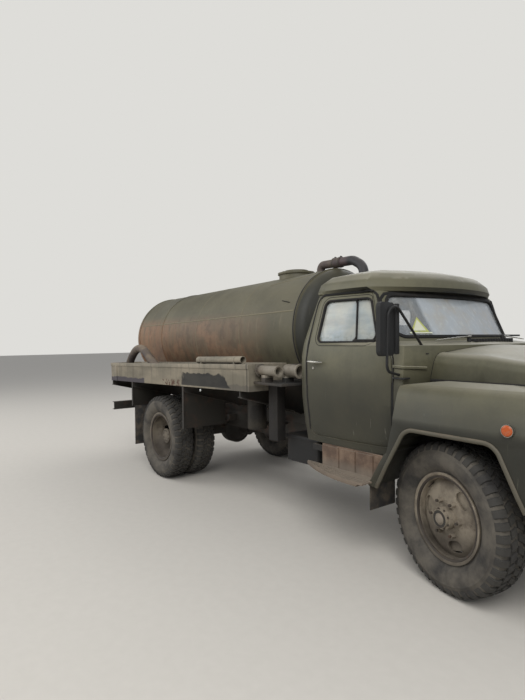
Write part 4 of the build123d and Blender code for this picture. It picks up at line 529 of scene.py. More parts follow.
# How each finish is made: its function and what that takes besides the name
FINISHES = {
    "cab_paint": (worn_paint, {}),
    "tank_paint": (tank_paint, {}),
    "tray_paint": (peeling_paint, {}),
    "step_paint": (step_paint, {}),
    "pipe_paint": (pipe_paint, {}),
    "wheel_paint": (wheel_paint, {}),
    "chassis_paint": (dusty_metal, {"base": (34, 32, 28), "dust": 0.35}),
    "dark_paint": (dusty_metal, {"base": (20, 21, 22), "rust": 0.1, "dust": 0.08, "rough": 0.65}),
    "spring_steel": (dusty_metal, {"base": (46, 40, 36), "rust": 0.9}),
    "iron": (dusty_metal, {"base": (58, 53, 47), "rust": 0.7}),
    "plate_face": (dusty_metal, {"base": (176, 172, 160), "rust": 0.1, "rough": 0.5}),
    "wheel_steel": (dusty_metal, {"base": (50, 44, 38), "rust": 0.5, "dust": 0.25}),
    "tank_edge": (dusty_metal, {"base": (112, 106, 82), "rust": 0.25, "dust": 0.6}),
    "hub_cap": (dusty_metal, {"base": (120, 111, 98), "dust": 0.3}),
    "fender_lip": (dusty_metal, {"base": (74, 71, 59), "rust": 0.2}),
    "tyre": (tyre_rubber, {}),
    "tread": (tyre_rubber, {"dust": 0.45, "dusty": (70, 68, 62)}),
    "rubber": (plain_rubber, {}),
    "seal": (plain_rubber, {"base": (15, 15, 15), "dust": 0.06, "rough": 0.8}),
    "hose": (plain_rubber, {"base": (38, 37, 37), "dust": 0.25, "rough": 0.5}),
    "sleeve": (plain_rubber, {"base": (66, 56, 55), "dust": 0.3, "rough": 0.6}),
    "dusty_hose": (plain_rubber, {"base": (78, 70, 66), "dust": 0.75, "rough": 0.75}),
    "dark_plastic": (plain_rubber, {"base": (30, 30, 30), "dust": 0.15, "rough": 0.4}),
    "sticker_edge": (plain_rubber, {"base": (176, 182, 96), "dust": 0.15, "rough": 0.5}),
    "sticker_field": (plain_rubber, {"base": (206, 208, 184), "dust": 0.1, "rough": 0.5}),
    "top_hose": (top_hose_rubber, {}),
    "glass": (window_glass, {}),
    "side_glass": (side_glass, {}),
    "lamp": (bright_metal, {}),
    "chrome": (bright_metal, {}),
    "mirror_face": (bright_metal, {"base": (176, 184, 190), "rough": 0.08}),
    "clear_lens": (lamp_glass, {"tint": (205, 208, 205)}),
    "amber_lens": (lamp_glass, {"tint": (176, 82, 36), "alpha": 0.97}),
    "red_lens": (lamp_glass, {"tint": (140, 30, 24), "alpha": 0.97}),
    "seat_cover": (seat_cover, {}),
}
MATERIALS = {}


def material(name):
    """The finish of that name, made once."""
    if name not in MATERIALS:
        maker, settings = FINISHES[name]
        MATERIALS[name] = maker(name, **settings)
    return MATERIALS[name]


def link(name, data, finish, body):
    """Put a mesh or curve into the scene as one piece that rides on a body."""
    piece = bpy.data.objects.new(name, data)
    bpy.context.scene.collection.objects.link(piece)
    data.materials.append(material(finish))
    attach(piece, body)
    return piece


def mesh_piece(name, bm, finish, body, crease=35):
    """Piece from a bmesh, smooth except at creases sharper than an angle in degrees."""
    bmesh.ops.recalc_face_normals(bm, faces=bm.faces)
    mesh = bpy.data.meshes.new(name)
    bm.to_mesh(mesh)
    bm.free()
    mesh.polygons.foreach_set("use_smooth", [True] * len(mesh.polygons))
    mesh.set_sharp_from_angle(angle=math.radians(crease))
    return link(name, mesh, finish, body)


def turns(count):
    """Evenly spaced angles once round."""
    return [2 * math.pi * step / count for step in range(count)]


def polar(radius, angle, along):
    """Place round the local Y axis."""
    return Vector((radius * math.cos(angle), along, radius * math.sin(angle)))


def join_rings(bm, rings, closed=False):
    """Faces between rings of corners; an open row of rings gets a face at each end."""
    pairs = list(zip(rings, rings[1:])) + ([(rings[-1], rings[0])] if closed else [])
    for first, second in pairs:
        for k in range(len(first)):
            after = (k + 1) % len(first)
            bm.faces.new((first[k], first[after], second[after], second[k]))
    if not closed:
        bm.faces.new(rings[0])
        bm.faces.new(list(reversed(rings[-1])))


def lathe(bm, profile, matrix, steps=64):
    """Turn a closed outline of (along, radius) points round the local Y axis and place it by a matrix."""
    rings = [[bm.verts.new(matrix @ polar(radius, angle, along)) for angle in turns(steps)]
             for along, radius in profile]
    join_rings(bm, rings, closed=True)


def axis_matrix(centre, axis):
    """Matrix that stands local Y along an axis at a centre."""
    return Matrix.Translation(centre) @ Vector(axis).to_track_quat("Y", "Z").to_matrix().to_4x4()


def tube_rings(bm, points, radii, sides=16):
    """Tube with closed ends through a list of points, one radius for each."""
    points = [Vector(point) for point in points]
    up = Vector((0, 0, 1))
    rings = []
    for number, (point, radius) in enumerate(zip(points, radii)):
        before = points[max(number - 1, 0)]
        after = points[min(number + 1, len(points) - 1)]
        direction = (after - before).normalized()
        side = direction.cross(up)
        if side.length < 1e-3:
            side = direction.cross(Vector((1, 0, 0)))
        side.normalize()
        up = side.cross(direction).normalized()
        rings.append([bm.verts.new(point + radius * (math.cos(angle) * side + math.sin(angle) * up))
                      for angle in turns(sides)])
    join_rings(bm, rings)


def box_shape(bm, low, high, soften):
    """Box between two corners with its edges softened."""
    low, high = Vector(low), Vector(high)
    matrix = Matrix.Translation((low + high) / 2) @ Matrix.Diagonal((*(high - low), 1))
    made = bmesh.ops.create_cube(bm, size=1, matrix=matrix)
    edges = list({edge for vert in made["verts"] for edge in vert.link_edges})
    bmesh.ops.bevel(bm, geom=edges, offset=soften, segments=2, profile=0.5, affect="EDGES")


def side_box(bm, side, first, second, soften):
    """Softened box on one side of the truck; its corners are places ahead, outward and up."""
    pairs = list(zip(placed(first, side), placed(second, side)))
    box_shape(bm, [min(pair) for pair in pairs], [max(pair) for pair in pairs], soften)


def hex_bolt(bm, place, axis, across, height, washer=True):
    """Hexagon head on its washer, standing along an axis."""
    matrix = axis_matrix(place, axis)
    inner = 0.0001
    flank = across * 0.55
    if washer:
        seat = across * 0.68
        lathe(bm, [(0, inner), (0, seat), (height * 0.25, seat), (height * 0.25, inner)], matrix, 16)
    head = [(0, inner), (0, flank), (height * 0.85, flank), (height, across * 0.45), (height, inner)]
    lathe(bm, head, matrix, 6)


def disc_lens(bm, centre, axis, radius, rise, rings=5):
    """Shallow dome with a straight edge."""
    inner = 0.0005
    profile = [(-0.002, inner), (-0.002, radius)]
    for k in range(rings + 1):
        angle = math.pi / 2 * k / rings
        profile.append((rise * math.sin(angle), max(radius * math.cos(angle), inner)))
    lathe(bm, profile, axis_matrix(centre, axis), 40)


# Widths of the softened edges of the CAD pieces, the angles where their shading breaks, and their finishes
SOFT_EDGES = {
    "cab_front": 0.006, "cab_back": 0.006, "cab_roof": 0.006, "door_left": 0.005, "door_right": 0.005,
    "bonnet": 0.008, "fender_left": 0.006, "fender_right": 0.006, "front_bumper": 0.006, "front_panel": 0.003,
    "mirrors": 0.004, "cab_steps": 0.003, "tank_cradle": 0.002, "hose_trays": 0.0015, "battery_box": 0.004,
    "fuel_tank": 0.004, "frame": 0.004, "tail_beam": 0.003, "vacuum_set": 0.004, "tank": 0.003,
    "hatch_lid": 0.003, "front_axle": 0.005, "rear_axle": 0.004, "engine_block": 0.01, "mudflaps": 0.001,
}
NODE_CREASES = {"steering_wheel": 50, "cab_roof": 50}
NODE_FINISHES = {"door_glass_left": "side_glass", "door_glass_right": "side_glass", "top_pipe": "sleeve",
                 "top_hose": "top_hose", "vacuum_set": "pipe_paint"}


def dress_node(name, finish):
    """Finish for a CAD node: merged corners, softened edges, smooth shading."""
    node = frame["nodes"][name]
    node.data.materials.clear()
    node.data.materials.append(material(finish))
    node.data.polygons.foreach_set("use_smooth", [True] * len(node.data.polygons))
    weld = node.modifiers.new("weld", "WELD")
    weld.merge_threshold = 0.00005
    if name in SOFT_EDGES:
        bevel = node.modifiers.new("soften", "BEVEL")
        bevel.width = SOFT_EDGES[name]
        bevel.segments = 2
        bevel.limit_method = "ANGLE"
        bevel.angle_limit = math.radians(40)
        bevel.use_clamp_overlap = True
    split = node.modifiers.new("crease", "EDGE_SPLIT")
    split.split_angle = math.radians(NODE_CREASES.get(name, 32))


SKINS = {}


def skin(names):
    """Search tree over the faces of some CAD nodes."""
    if names not in SKINS:
        points, faces = [], []
        for name in names:
            node = frame["nodes"][name]
            first = len(points)
            points += [node.matrix_world @ vert.co for vert in node.data.vertices]
            faces += [[first + index for index in face.vertices] for face in node.data.polygons]
        SKINS[names] = BVHTree.FromPolygons(points, faces)
    return SKINS[names]


def landed(names, start, direction, reach=0.7):
    """Where a straight line first meets those nodes, with the surface's outward normal, or None."""
    direction = Vector(direction).normalized()
    place, normal, _, _ = skin(names).ray_cast(Vector(start), direction, reach)
    if place is None:
        return None
    return place, (normal if normal.dot(direction) < 0 else -normal)


CLEAR_OUTWARD = 1.3


def side_line(names, line, side, reach=0.7):
    """Lay (ahead, height) points on one side of the truck."""
    hits = [landed(names, placed((x, CLEAR_OUTWARD, z), side), (0, -side, 0), reach) for x, z in line]
    return [hit for hit in hits if hit]


def face_line(names, line, start=0.3, way=-1, reach=1.2):
    """Lay (side, height) points on the cab, from a place before its face or behind its back."""
    hits = [landed(names, (ahead(start), y, z), (way, 0, 0), reach) for y, z in line]
    return [hit for hit in hits if hit]


def rounded(corners, radii, grow=0.0, steps=6):
    """Closed outline with rounded corners, grown all round."""
    line = []
    for k, corner in enumerate(corners):
        here = Vector(corner)
        back = (Vector(corners[k - 1]) - here).normalized()
        onward = (Vector(corners[(k + 1) % len(corners)]) - here).normalized()
        half = back.angle(onward) / 2
        inward = (back + onward).normalized()
        here = here - inward * grow / math.sin(half)
        radius = radii[k] + grow
        centre = here + inward * radius / math.sin(half)
        start = here + back * radius / math.tan(half) - centre
        end = here + onward * radius / math.tan(half) - centre
        for step in range(steps + 1):
            line.append(centre + start.lerp(end, step / steps).normalized() * radius)
    return line


def divided(line, spacing, closed=False):
    """Points along a line, no further apart than a spacing."""
    line = [Vector(point) for point in line]
    pairs = list(zip(line, line[1:])) + ([(line[-1], line[0])] if closed else [])
    made = []
    for first, second in pairs:
        count = max(1, math.ceil((second - first).length / spacing))
        made += [first.lerp(second, k / count) for k in range(count)]
    return made if closed else made + [line[-1]]


def outline(corners, radii, grow, spacing):
    """Points along a closed outline with rounded corners, grown all round."""
    return divided(rounded(corners, radii, grow), spacing, True)


def arc_through(first, middle, last):
    """Centre, radius, start angle and turn of the arc through three points of a plane."""
    (ax, ay), (bx, by), (cx, cy) = first, middle, last
    d = 2 * (ax * (by - cy) + bx * (cy - ay) + cx * (ay - by))
    a2, b2, c2 = ax * ax + ay * ay, bx * bx + by * by, cx * cx + cy * cy
    ux = (a2 * (by - cy) + b2 * (cy - ay) + c2 * (ay - by)) / d
    uy = (a2 * (cx - bx) + b2 * (ax - cx) + c2 * (bx - ax)) / d
    start = math.atan2(ay - uy, ax - ux)
    turn = math.remainder(math.atan2(cy - uy, cx - ux) - start, 2 * math.pi)
    return (ux, uy), math.hypot(ax - ux, ay - uy), start, turn


def carry(bm, hits, section, closed=False):
    """Carry a section of (sideways, outward) points along hits on a surface."""
    rings = []
    for k, (place, out) in enumerate(hits):
        before = hits[k - 1][0] if closed or k else place
        after = hits[(k + 1) % len(hits)][0] if closed or k < len(hits) - 1 else place
        along = (after - before).normalized()
        side = along.cross(out).normalized()
        out = side.cross(along).normalized()
        rings.append([bm.verts.new(place + side * a + out * b) for a, b in section])
    join_rings(bm, rings, closed)


def band(half, height, depth=0.006):
    """Section of a strip with rounded shoulders, its foot sunk into the surface."""
    right = ((half * 0.6, height), (half, height * 0.45), (half, -depth))
    return tuple((-a, b) for a, b in reversed(right)) + right


def tank_place(along, angle, radius):
    """Place on the tank: ahead of its front ring, angle up from the right side, radius."""
    return TANK_CENTRE + TANK_TURN @ Vector((along, -radius * math.cos(angle), radius * math.sin(angle)))


TANK_SKIN = 0.618


def on_tank(along, angle):
    """Place on the tank's shell with its outward direction."""
    return tank_place(along, angle, TANK_SKIN), (tank_place(0, angle, 1) - TANK_CENTRE).normalized()


# Joint, body and CAD piece of each wheel, and where its tyres stand along the axle
TWINS = (-0.14, 0.14)
WHEELS = (("front_left_spin", "wheel_front_left", "front_tyre_left", (0.0,)),
          ("front_right_spin", "wheel_front_right", "front_tyre_right", (0.0,)),
          ("rear_left_spin", "wheels_rear_left", "rear_tyres_left", TWINS),
          ("rear_right_spin", "wheels_rear_right", "rear_tyres_right", TWINS))


def wheel_matrix(joint, along=0.0):
    """Local Y along a wheel's axle, its origin moved along it."""
    centre = Vector(JOINTS[joint]["pos_m"])
    axis = Vector(JOINTS[joint]["axis"]).normalized()
    return axis_matrix(centre + axis * along, axis)


TYRE_RADIUS = 0.477
TYRE_HALF = 0.118
BEAD_HALF = 0.0687
# Sidewall from the bead outward: how far it stands in from the tyre's half width, and its radius
SIDEWALL = ((0.022, 0.312), (0.009, 0.335), (0.002, 0.362), (0, 0.388), (0.002, 0.4), (0.0015, 0.403),
            (0.004, 0.406), (0.009, 0.428), (0.022, 0.4535))
# Tread blocks: along the axle, how far the top lies in from the tyre, how far the foot lies in from the base
SHOULDER_BLOCK = ((0.055, 0.001, 0.006), (0.086, 0.005, 0.01), (0.1, 0.014, 0.02), (0.1125, 0.04, 0.039))
INNER_BLOCK = ((0.047, 0.0005, 0.004), (0.026, 0.0, 0.004), (0.006, 0.0, 0.004))


def tread_block(bm, matrix, start, end, stations, skew):
    """One tread block: stations are distance along the axle, top radius and base radius."""
    inset = (end - start) * 0.1
    rows = []
    for number, (along, top, base) in enumerate(stations):
        corners = ((base, start), (top, start + inset), (top, end - inset), (base, end))
        rows.append([bm.verts.new(matrix @ polar(radius, angle + skew * number, along))
                     for radius, angle in corners])
    faces = [(first[k], first[k + 1], second[k + 1], second[k]) for first, second in zip(rows, rows[1:])
             for k in range(3)]
    for corners in (*faces, rows[0], list(reversed(rows[-1]))):
        bm.faces.new(corners).material_index = 1


def tyre_shape(bm, matrix):
    """Tyre with a ribbed sidewall, shoulder blocks and two rows of staggered centre blocks."""
    base = TYRE_RADIUS - sizes().tread_depth
    side = [(BEAD_HALF, 0.2546), (BEAD_HALF + 0.004, 0.29)]
    side += [(TYRE_HALF - inset, radius) for inset, radius in SIDEWALL]
    side.append((TYRE_HALF - 0.04, base - 0.003))
    lathe(bm, [(-y, r) for y, r in side] + [(0, base)] + list(reversed(side)), matrix, 96)
    pitch = 2 * math.pi / sizes().tread_pitches
    for number in range(sizes().tread_pitches):
        start = number * pitch
        for sign in (-1, 1):
            turn = start + (pitch / 2 if sign > 0 else 0)
            shoulder, inner = ([(sign * along, TYRE_RADIUS - top, base - foot) for along, top, foot in block]
                               for block in (SHOULDER_BLOCK, INNER_BLOCK))
            tread_block(bm, matrix, turn, turn + pitch * 0.72, shoulder, 0.0)
            tread_block(bm, matrix, turn + pitch * 0.3, turn + pitch * 0.98, inner, pitch * 0.16)


class TRUCK_OT_tyres(bpy.types.Operator):
    """Tyres with tread blocks"""
    bl_idname = "truck.tyres"
    bl_label = "Tyres"

    def execute(self, context):
        for joint, body, node, places in WHEELS:
            bm = bmesh.new()
            for along in places:
                tyre_shape(bm, wheel_matrix(joint, along))
            tyre = mesh_piece(node.replace("tyre", "treaded_tyre"), bm, "tyre", body, 40)
            tyre.data.materials.append(material("tread"))
            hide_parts(node)
        return {"FINISHED"}


HOSE_DIAMETER = 0.10
HOSE_ROUTE = ((-0.635, -0.970, 1.1787), (-1.335, -1.020, 1.1604), (-2.085, -1.020, 1.690),
              (-2.485, -0.985, 1.1178))
CLAMPS_AHEAD = (-1.868, -1.79)
CLAMP_Z = 2.375
CLAMP_RADIUS = 0.0545
CLAMP_HALF = 0.008
CLAMP_THICK = 0.0035


class TRUCK_OT_hoses(bpy.types.Operator):
    """Loose hose and the clamps of the top hose"""
    bl_idname = "truck.hoses"
    bl_label = "Hoses"

    def execute(self, context):
        data = bpy.data.curves.new("loose_suction_hose", "CURVE")
        data.dimensions = "3D"
        data.bevel_depth = HOSE_DIAMETER / 2
        data.bevel_resolution = 6
        data.resolution_u = 24
        data.use_fill_caps = True
        spline = data.splines.new("NURBS")
        spline.points.add(len(HOSE_ROUTE) - 1)
        for point, place in zip(spline.points, HOSE_ROUTE):
            point.co = (*place, 1)
        spline.order_u = 3
        spline.use_endpoint_u = True
        hose = link("loose_suction_hose", data, "dusty_hose", "chassis")
        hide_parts("loose_hose")
        bm = bmesh.new()
        inner = CLAMP_RADIUS - CLAMP_THICK
        for x in CLAMPS_AHEAD:
            matrix = axis_matrix(placed((x, 0, CLAMP_Z)), (1, 0, 0))
            ring = [(-CLAMP_HALF, inner), (-CLAMP_HALF, CLAMP_RADIUS), (CLAMP_HALF, CLAMP_RADIUS),
                    (CLAMP_HALF, inner)]
            lathe(bm, ring, matrix, 40)
            top = matrix @ Vector((0, 0, CLAMP_RADIUS + 0.0015))
            hex_bolt(bm, top, (0, 1, 0), across=0.014, height=0.02)
        mesh_piece("top_hose_clamps", bm, "iron", "chassis")
        return {"FINISHED"}


SIDE_WINDOW = ((-1.125, 1.592), (-0.6, 1.592), (-0.706, 1.902), (-1.118, 1.902))
SIDE_WINDOW_RADII = (0.04, 0.045, 0.045, 0.04)
QUARTER_BAR = ((-0.824, 1.905), (-0.774, 1.588))
QUARTER_RAIL = ((-0.786, 1.588), (-0.606, 1.588))
SCREEN = ((-0.772, 1.628), (0.772, 1.628), (0.722, 1.926), (-0.722, 1.926))
# Dark strip under the roof's lip: seal with painted shade under the lip
BROW = ((0.795, 1.84), (0.775, 1.9), (0.735, 1.937), (0.67, 1.948))
REAR_WINDOW = ((-0.47, 1.62), (0.47, 1.62), (0.45, 1.88), (-0.45, 1.88))
STICKER = (("sticker_edge", ((-0.53, 1.765), (-0.628, 1.655), (-0.482, 1.655))),
           ("sticker_field", ((-0.537, 1.748), (-0.607, 1.664), (-0.504, 1.664))),
           ("sticker_field", ((-0.64, 1.652), (-0.64, 1.643), (-0.462, 1.643), (-0.462, 1.652))))


class TRUCK_OT_windows(bpy.types.Operator):
    """Window seals, quarter light bars, rails and the sticker"""
    bl_idname = "truck.windows"
    bl_label = "Windows"

    def execute(self, context):
        for side, name in SIDES:
            self.door_window(side, name)
        self.cab_windows()
        for number, (finish, corners) in enumerate(STICKER):
            self.sticker(number, finish, corners)
        return {"FINISHED"}

    def door_window(self, side, name):
        """Seal, fine outer line, quarter light bar and rail of one door's window."""
        door = ("door_" + name,)
        glazed = ("door_" + name, "door_glass_" + name)
        seal, line = (outline(SIDE_WINDOW, SIDE_WINDOW_RADII, grow, 0.04) for grow in (0.007, 0.034))
        bm = bmesh.new()
        carry(bm, side_line(door, seal, side), band(sizes().seal_width / 2, 0.007, 0.02), True)
        carry(bm, side_line(door, line, side), band(0.0025, 0.0015), True)
        carry(bm, side_line(glazed, divided(QUARTER_BAR, 0.04), side), band(0.007, 0.012))
        carry(bm, side_line(glazed, divided(QUARTER_RAIL, 0.03), side), band(0.012, 0.016, 0.012))
        mesh_piece("door_seals_" + name, bm, "seal", "door_" + name)

    def cab_windows(self):
        """Seals of the windscreen and rear window, and the dark strip under the roof's lip that stands for its
        seal and painted shade.
        """
        cab = ("cab_front", "cab_roof")
        brow = [(-y, z) for y, z in BROW] + list(reversed(BROW))
        screen = outline(SCREEN, (0.075,) * 4, 0.008, 0.05)
        rear = outline(REAR_WINDOW, (0.06,) * 4, 0.007, 0.05)
        bm = bmesh.new()
        carry(bm, face_line(cab, screen), band(0.013, 0.009, 0.02), True)
        # Dark strip under the roof's lip: seal with painted shade under the lip
        carry(bm, face_line(cab, divided(brow, 0.05)), band(0.012, 0.004, 0.02))
        seal = band(sizes().seal_width / 2, 0.007, 0.02)
        carry(bm, face_line(("cab_back",), rear, -1.5, 1, 0.7), seal, True)
        mesh_piece("cab_seals", bm, "seal", "chassis")

    def sticker(self, number, finish, corners):
        """One plain patch of the sticker on the windscreen, each a little above the one before."""
        bm = bmesh.new()
        hits = face_line(("cab_glass",), corners)
        lift = 0.0015 + 0.001 * number
        join_rings(bm, [[bm.verts.new(place + out * height) for place, out in hits]
                        for height in (lift, lift - 0.001)])
        mesh_piece("sticker_%d" % number, bm, finish, "chassis")


DOOR = ((-1.205, 0.852), (-0.408, 0.852), (-0.4, 1.15), (-0.4, 1.49), (-0.566, 1.612), (-0.66, 1.958),
        (-1.217, 1.958), (-1.213, 1.5))
DOOR_RADII = (0.07, 0.06, 0.001, 0.09, 0.12, 0.07, 0.08, 0.001)
SEAL_FOOT_Z = 0.88
HANDLE = ((-1.155, 1.432), (-1.02, 1.43))
HANDLE_BOSS = ((-0.002, 0.001), (-0.002, 0.013), (0.003, 0.012), (0.005, 0.009), (0.024, 0.008),
               (0.024, 0.001))
HANDLE_LEVER = ((-0.16, 0.028), (0.0, 0.031), (0.35, 0.033), (0.7, 0.029), (1.0, 0.022))
LOCK = (-1.14, 1.384)
LOCK_BARREL = ((-0.001, 0.001), (-0.001, 0.013), (0.005, 0.011), (0.005, 0.005), (0.003, 0.001))
CAB_LEDGE = ((-0.392, 1.421), (-0.3, 1.414), (-0.272, 1.406))
LEDGE_BOLT = (-0.391, 1.419)
ROOF_BLOCK = (-1.205, 1.975)
ROOF_BLOCK_HALF = (0.022, 0.006, 0.01)
CAB_FOLD = ((-1.238, 1.955), (-1.262, 1.75), (-1.278, 1.55), (-1.283, 1.4), (-1.28, 1.15), (-1.272, 0.9))
# Two corners (ahead, outward, up) and the softening of each plate that holds the mirror
MIRROR_PLATES = (((-0.385, 0.905, 1.338), (-0.288, 0.972, 1.349), 0.003),
                 ((-0.315, 0.69, 1.5), (-0.262, 0.76, 1.508), 0.002),
                 ((-0.33, 0.988, 1.505), (-0.306, 1.026, 1.838), 0.008))
MIRROR_FACE = ((-0.086, -0.16), (0.086, -0.16), (0.086, 0.16), (-0.086, 0.16))
MIRROR_CENTRE = (-0.326, 1.13, 1.67)
MIRROR_DEPTHS = (-0.0035, 0.004)
MIRROR_TURN = 12
ARCH = ((-0.474, 0.59), (-0.235, 1.012), (0.345, 1.008), (0.508, 0.672))
ARCH_RADII = (0.001, 0.095, 0.095, 0.001)
BONNET_FOOT_Z = 1.326
BONNET_SILL = ((-0.262, 1.33), (0.62, 1.33))
WIPER_COVER = ((-0.288, -0.2, 1.55), (-0.236, 0.36, 1.6))
WIPER_SLAT = ((-0.291, -0.175, 1.556), (-0.233, -0.163, 1.603))
SLAT_PITCH = 0.0395
WIPER_ARM = ((-0.25, 0.24, 1.619), (-0.255, 0.3, 1.617), (-0.27, 0.45, 1.607), (-0.282, 0.62, 1.594))


class TRUCK_OT_cab_trim(bpy.types.Operator):
    """Handles, doorway strips, folds, mirror plates, fender lips, bonnet seals with painted gap shade, and wipers
    of the cab
    """
    bl_idname = "truck.cab_trim"
    bl_label = "Cab trim"

    def execute(self, context):
        for side, name in SIDES:
            self.handle(side, name)
            self.doorway_seal(side, name)
            self.folds(side, name)
            self.mirror_plates(side, name)
            self.mirror_glass(side, name)
            self.fender_lip(side, name)
        self.bonnet_seal()
        self.wipers()
        return {"FINISHED"}

    def handle(self, side, name):
        """Lever on its round foot, with the lock under it."""
        door = ("door_" + name,)
        bm = bmesh.new()
        (foot, out), (tip, _) = side_line(door, HANDLE, side)
        lathe(bm, HANDLE_BOSS, axis_matrix(foot, out), 24)
        points = [foot + (tip - foot) * share + out * lift for share, lift in HANDLE_LEVER]
        tube_rings(bm, points, (0.009, 0.012, 0.0105, 0.008, 0.005), 14)
        (lock, out), = side_line(door, [LOCK], side)
        lathe(bm, LOCK_BARREL, axis_matrix(lock, out), 20)
        mesh_piece("door_handle_" + name, bm, "chrome", "door_" + name)

    def doorway_seal(self, side, name):
        """Black strip over the gap round the door, open along its foot."""
        around = ("cab_front", "cab_back", "cab_roof", "door_" + name)
        inner, outer = (rounded(DOOR, DOOR_RADII, grow) for grow in (-0.007, 0.011))
        hits = []
        for k, corner in enumerate(inner):
            count = max(1, math.ceil((corner - inner[k - 1]).length / 0.03))
            for part in range(1, count + 1):
                pair = [line[k - 1].lerp(line[k], part / count) for line in (inner, outer)]
                found = side_line(around, pair, side, 0.55)
                if found:
                    middle = (pair[0] + pair[1]) / 2
                    out = sum((normal for _, normal in found), Vector()).normalized()
                    reach = max(abs(place.y) for place, _ in found)
                    hits.append((placed((middle.x, reach, middle.y), side), out))
        cut = 1 + max(k for k, (place, _) in enumerate(hits) if place.z < SEAL_FOOT_Z)
        hits = [hit for hit in hits[cut:] + hits[:cut] if hit[0].z >= SEAL_FOOT_Z]
        bm = bmesh.new()
        carry(bm, hits, band(0.0085, 0.0018, 0.012))
        mesh_piece("doorway_seal_" + name, bm, "seal", "chassis")

    def folds(self, side, name):
        """Ledge beside the cowl, fold down the cab's rear corner and the small block over the door."""
        bm = bmesh.new()
        carry(bm, side_line(("cab_front",), divided(CAB_LEDGE, 0.02), side), band(0.011, 0.012))
        carry(bm, side_line(("cab_back",), divided(CAB_FOLD, 0.05), side), band(0.007, 0.005))
        (place, _), = side_line(("cab_roof",), [ROOF_BLOCK], side)
        half = Vector(ROOF_BLOCK_HALF)
        box_shape(bm, place - half, place + half, 0.004)
        mesh_piece("cab_folds_" + name, bm, "cab_paint", "chassis")

    def mirror_plates(self, side, name):
        """Foot plates and back plate of one mirror, with the bolt of the ledge beside them."""
        bm = bmesh.new()
        (place, out), = side_line(("cab_front",), [LEDGE_BOLT], side)
        hex_bolt(bm, place, out, across=0.016, height=0.008)
        for first, second, soften in MIRROR_PLATES:
            side_box(bm, side, first, second, soften)
        mesh_piece("mirror_plates_" + name, bm, "dark_paint", "chassis")

    def mirror_glass(self, side, name):
        """Bright face of one mirror, turned a little inward."""
        turn = Matrix.Rotation(math.radians(-MIRROR_TURN * side), 4, "Z")
        matrix = Matrix.Translation(placed(MIRROR_CENTRE, side)) @ turn
        bm = bmesh.new()
        join_rings(bm, [[bm.verts.new(matrix @ Vector((depth, *corner)))
                         for corner in rounded(MIRROR_FACE, (0.03,) * 4)] for depth in MIRROR_DEPTHS])
        mesh_piece("mirror_glass_" + name, bm, "mirror_face", "chassis")

    def fender_lip(self, side, name):
        """Half-round lip along the edge of the wheel arch."""
        line = divided(rounded(ARCH, ARCH_RADII, 0.013), 0.03)
        angles = [math.pi * k / 8 for k in range(8, -1, -1)]
        section = [(0.014 * math.cos(angle), 0.011 * math.sin(angle) - 0.002) for angle in angles]
        bm = bmesh.new()
        carry(bm, side_line(("fender_" + name,), line, side, 0.5), section)
        mesh_piece("fender_lip_" + name, bm, "fender_lip", "chassis")

    def bonnet_seal(self):
        """Black strip of seal and painted gap shade behind the bonnet's rear edge, and one along each of its lower
        edges.

        Lines from outside, each a little further back, find the last place that the bonnet still covers.
        """
        bm = bmesh.new()
        # Seal and painted shade in the gap behind the bonnet
        hits = []
        for angle in turns(144)[:73]:
            direction = Vector((0, math.cos(angle), math.sin(angle)))
            edge = None
            for step in range(60):
                start = placed((-0.1 - 0.003 * step, 0, BONNET_FOOT_Z)) + direction * 2
                place, _, _, _ = skin(("bonnet",)).ray_cast(start, -direction, 1.9)
                if place is not None:
                    edge = place
            if edge is not None:
                hits.append((edge - Vector((0.005, 0, 0)) - direction * 0.002, direction))
        carry(bm, hits, band(0.012, 0.0018, 0.02))
        # Black tubes along the bonnet's lower edges: seal and painted shade of the gap over the fenders
        sill = divided(BONNET_SILL, 0.03)
        for side in (-1, 1):
            hits = side_line(("bonnet",), sill, side, 0.9)
            points = [place + Vector((0, side * 0.005, -0.01)) for place, _ in hits]
            tube_rings(bm, points, [0.012] * len(points), 10)
        mesh_piece("bonnet_seal", bm, "seal", "chassis")

    def wipers(self):
        """Slatted dark cover at the windscreen's foot, and the bright arms."""
        bm = bmesh.new()
        box_shape(bm, *(placed(corner) for corner in WIPER_COVER), 0.012)
        for k in range(14):
            along = Vector((0, SLAT_PITCH * k, 0))
            box_shape(bm, *(placed(corner) + along for corner in WIPER_SLAT), 0.002)
        mesh_piece("wiper_cover", bm, "seal", "chassis")
        bm = bmesh.new()
        for side in (-1, 1):
            points = [placed(place, side) for place in WIPER_ARM]
            tube_rings(bm, points, (0.008, 0.006, 0.005, 0.004), 10)
        mesh_piece("wiper_arms", bm, "chrome", "chassis")


HEADLAMP = (0.797, 0.868, 1.052)
MARKER = (0.795, 0.868, 0.845)
SIDE_MARKER = (0.435, 1.0525, 1.11)
HEAD_RING = ((-0.02, 0.1005), (-0.02, 0.106), (0.0, 0.107), (0.006, 0.102), (0.007, 0.094), (0.002, 0.088),
             (-0.004, 0.088))
MARKER_RING = ((-0.01, 0.036), (-0.01, 0.0435), (0.001, 0.0435), (0.004, 0.039), (0.004, 0.035))
# Rear lamps: a red outer and an amber inner half, between two places along the truck and two heights
REAR_LAMP_X = (-5.287, -5.278)
REAR_LAMP_Z = (0.655, 0.735)
RED_SIDE = (0.905, 0.99)
AMBER_SIDE = (0.81, 0.895)
REAR_PLATE = ((-5.244, -0.56, 0.64), (-5.24, -0.04, 0.752))


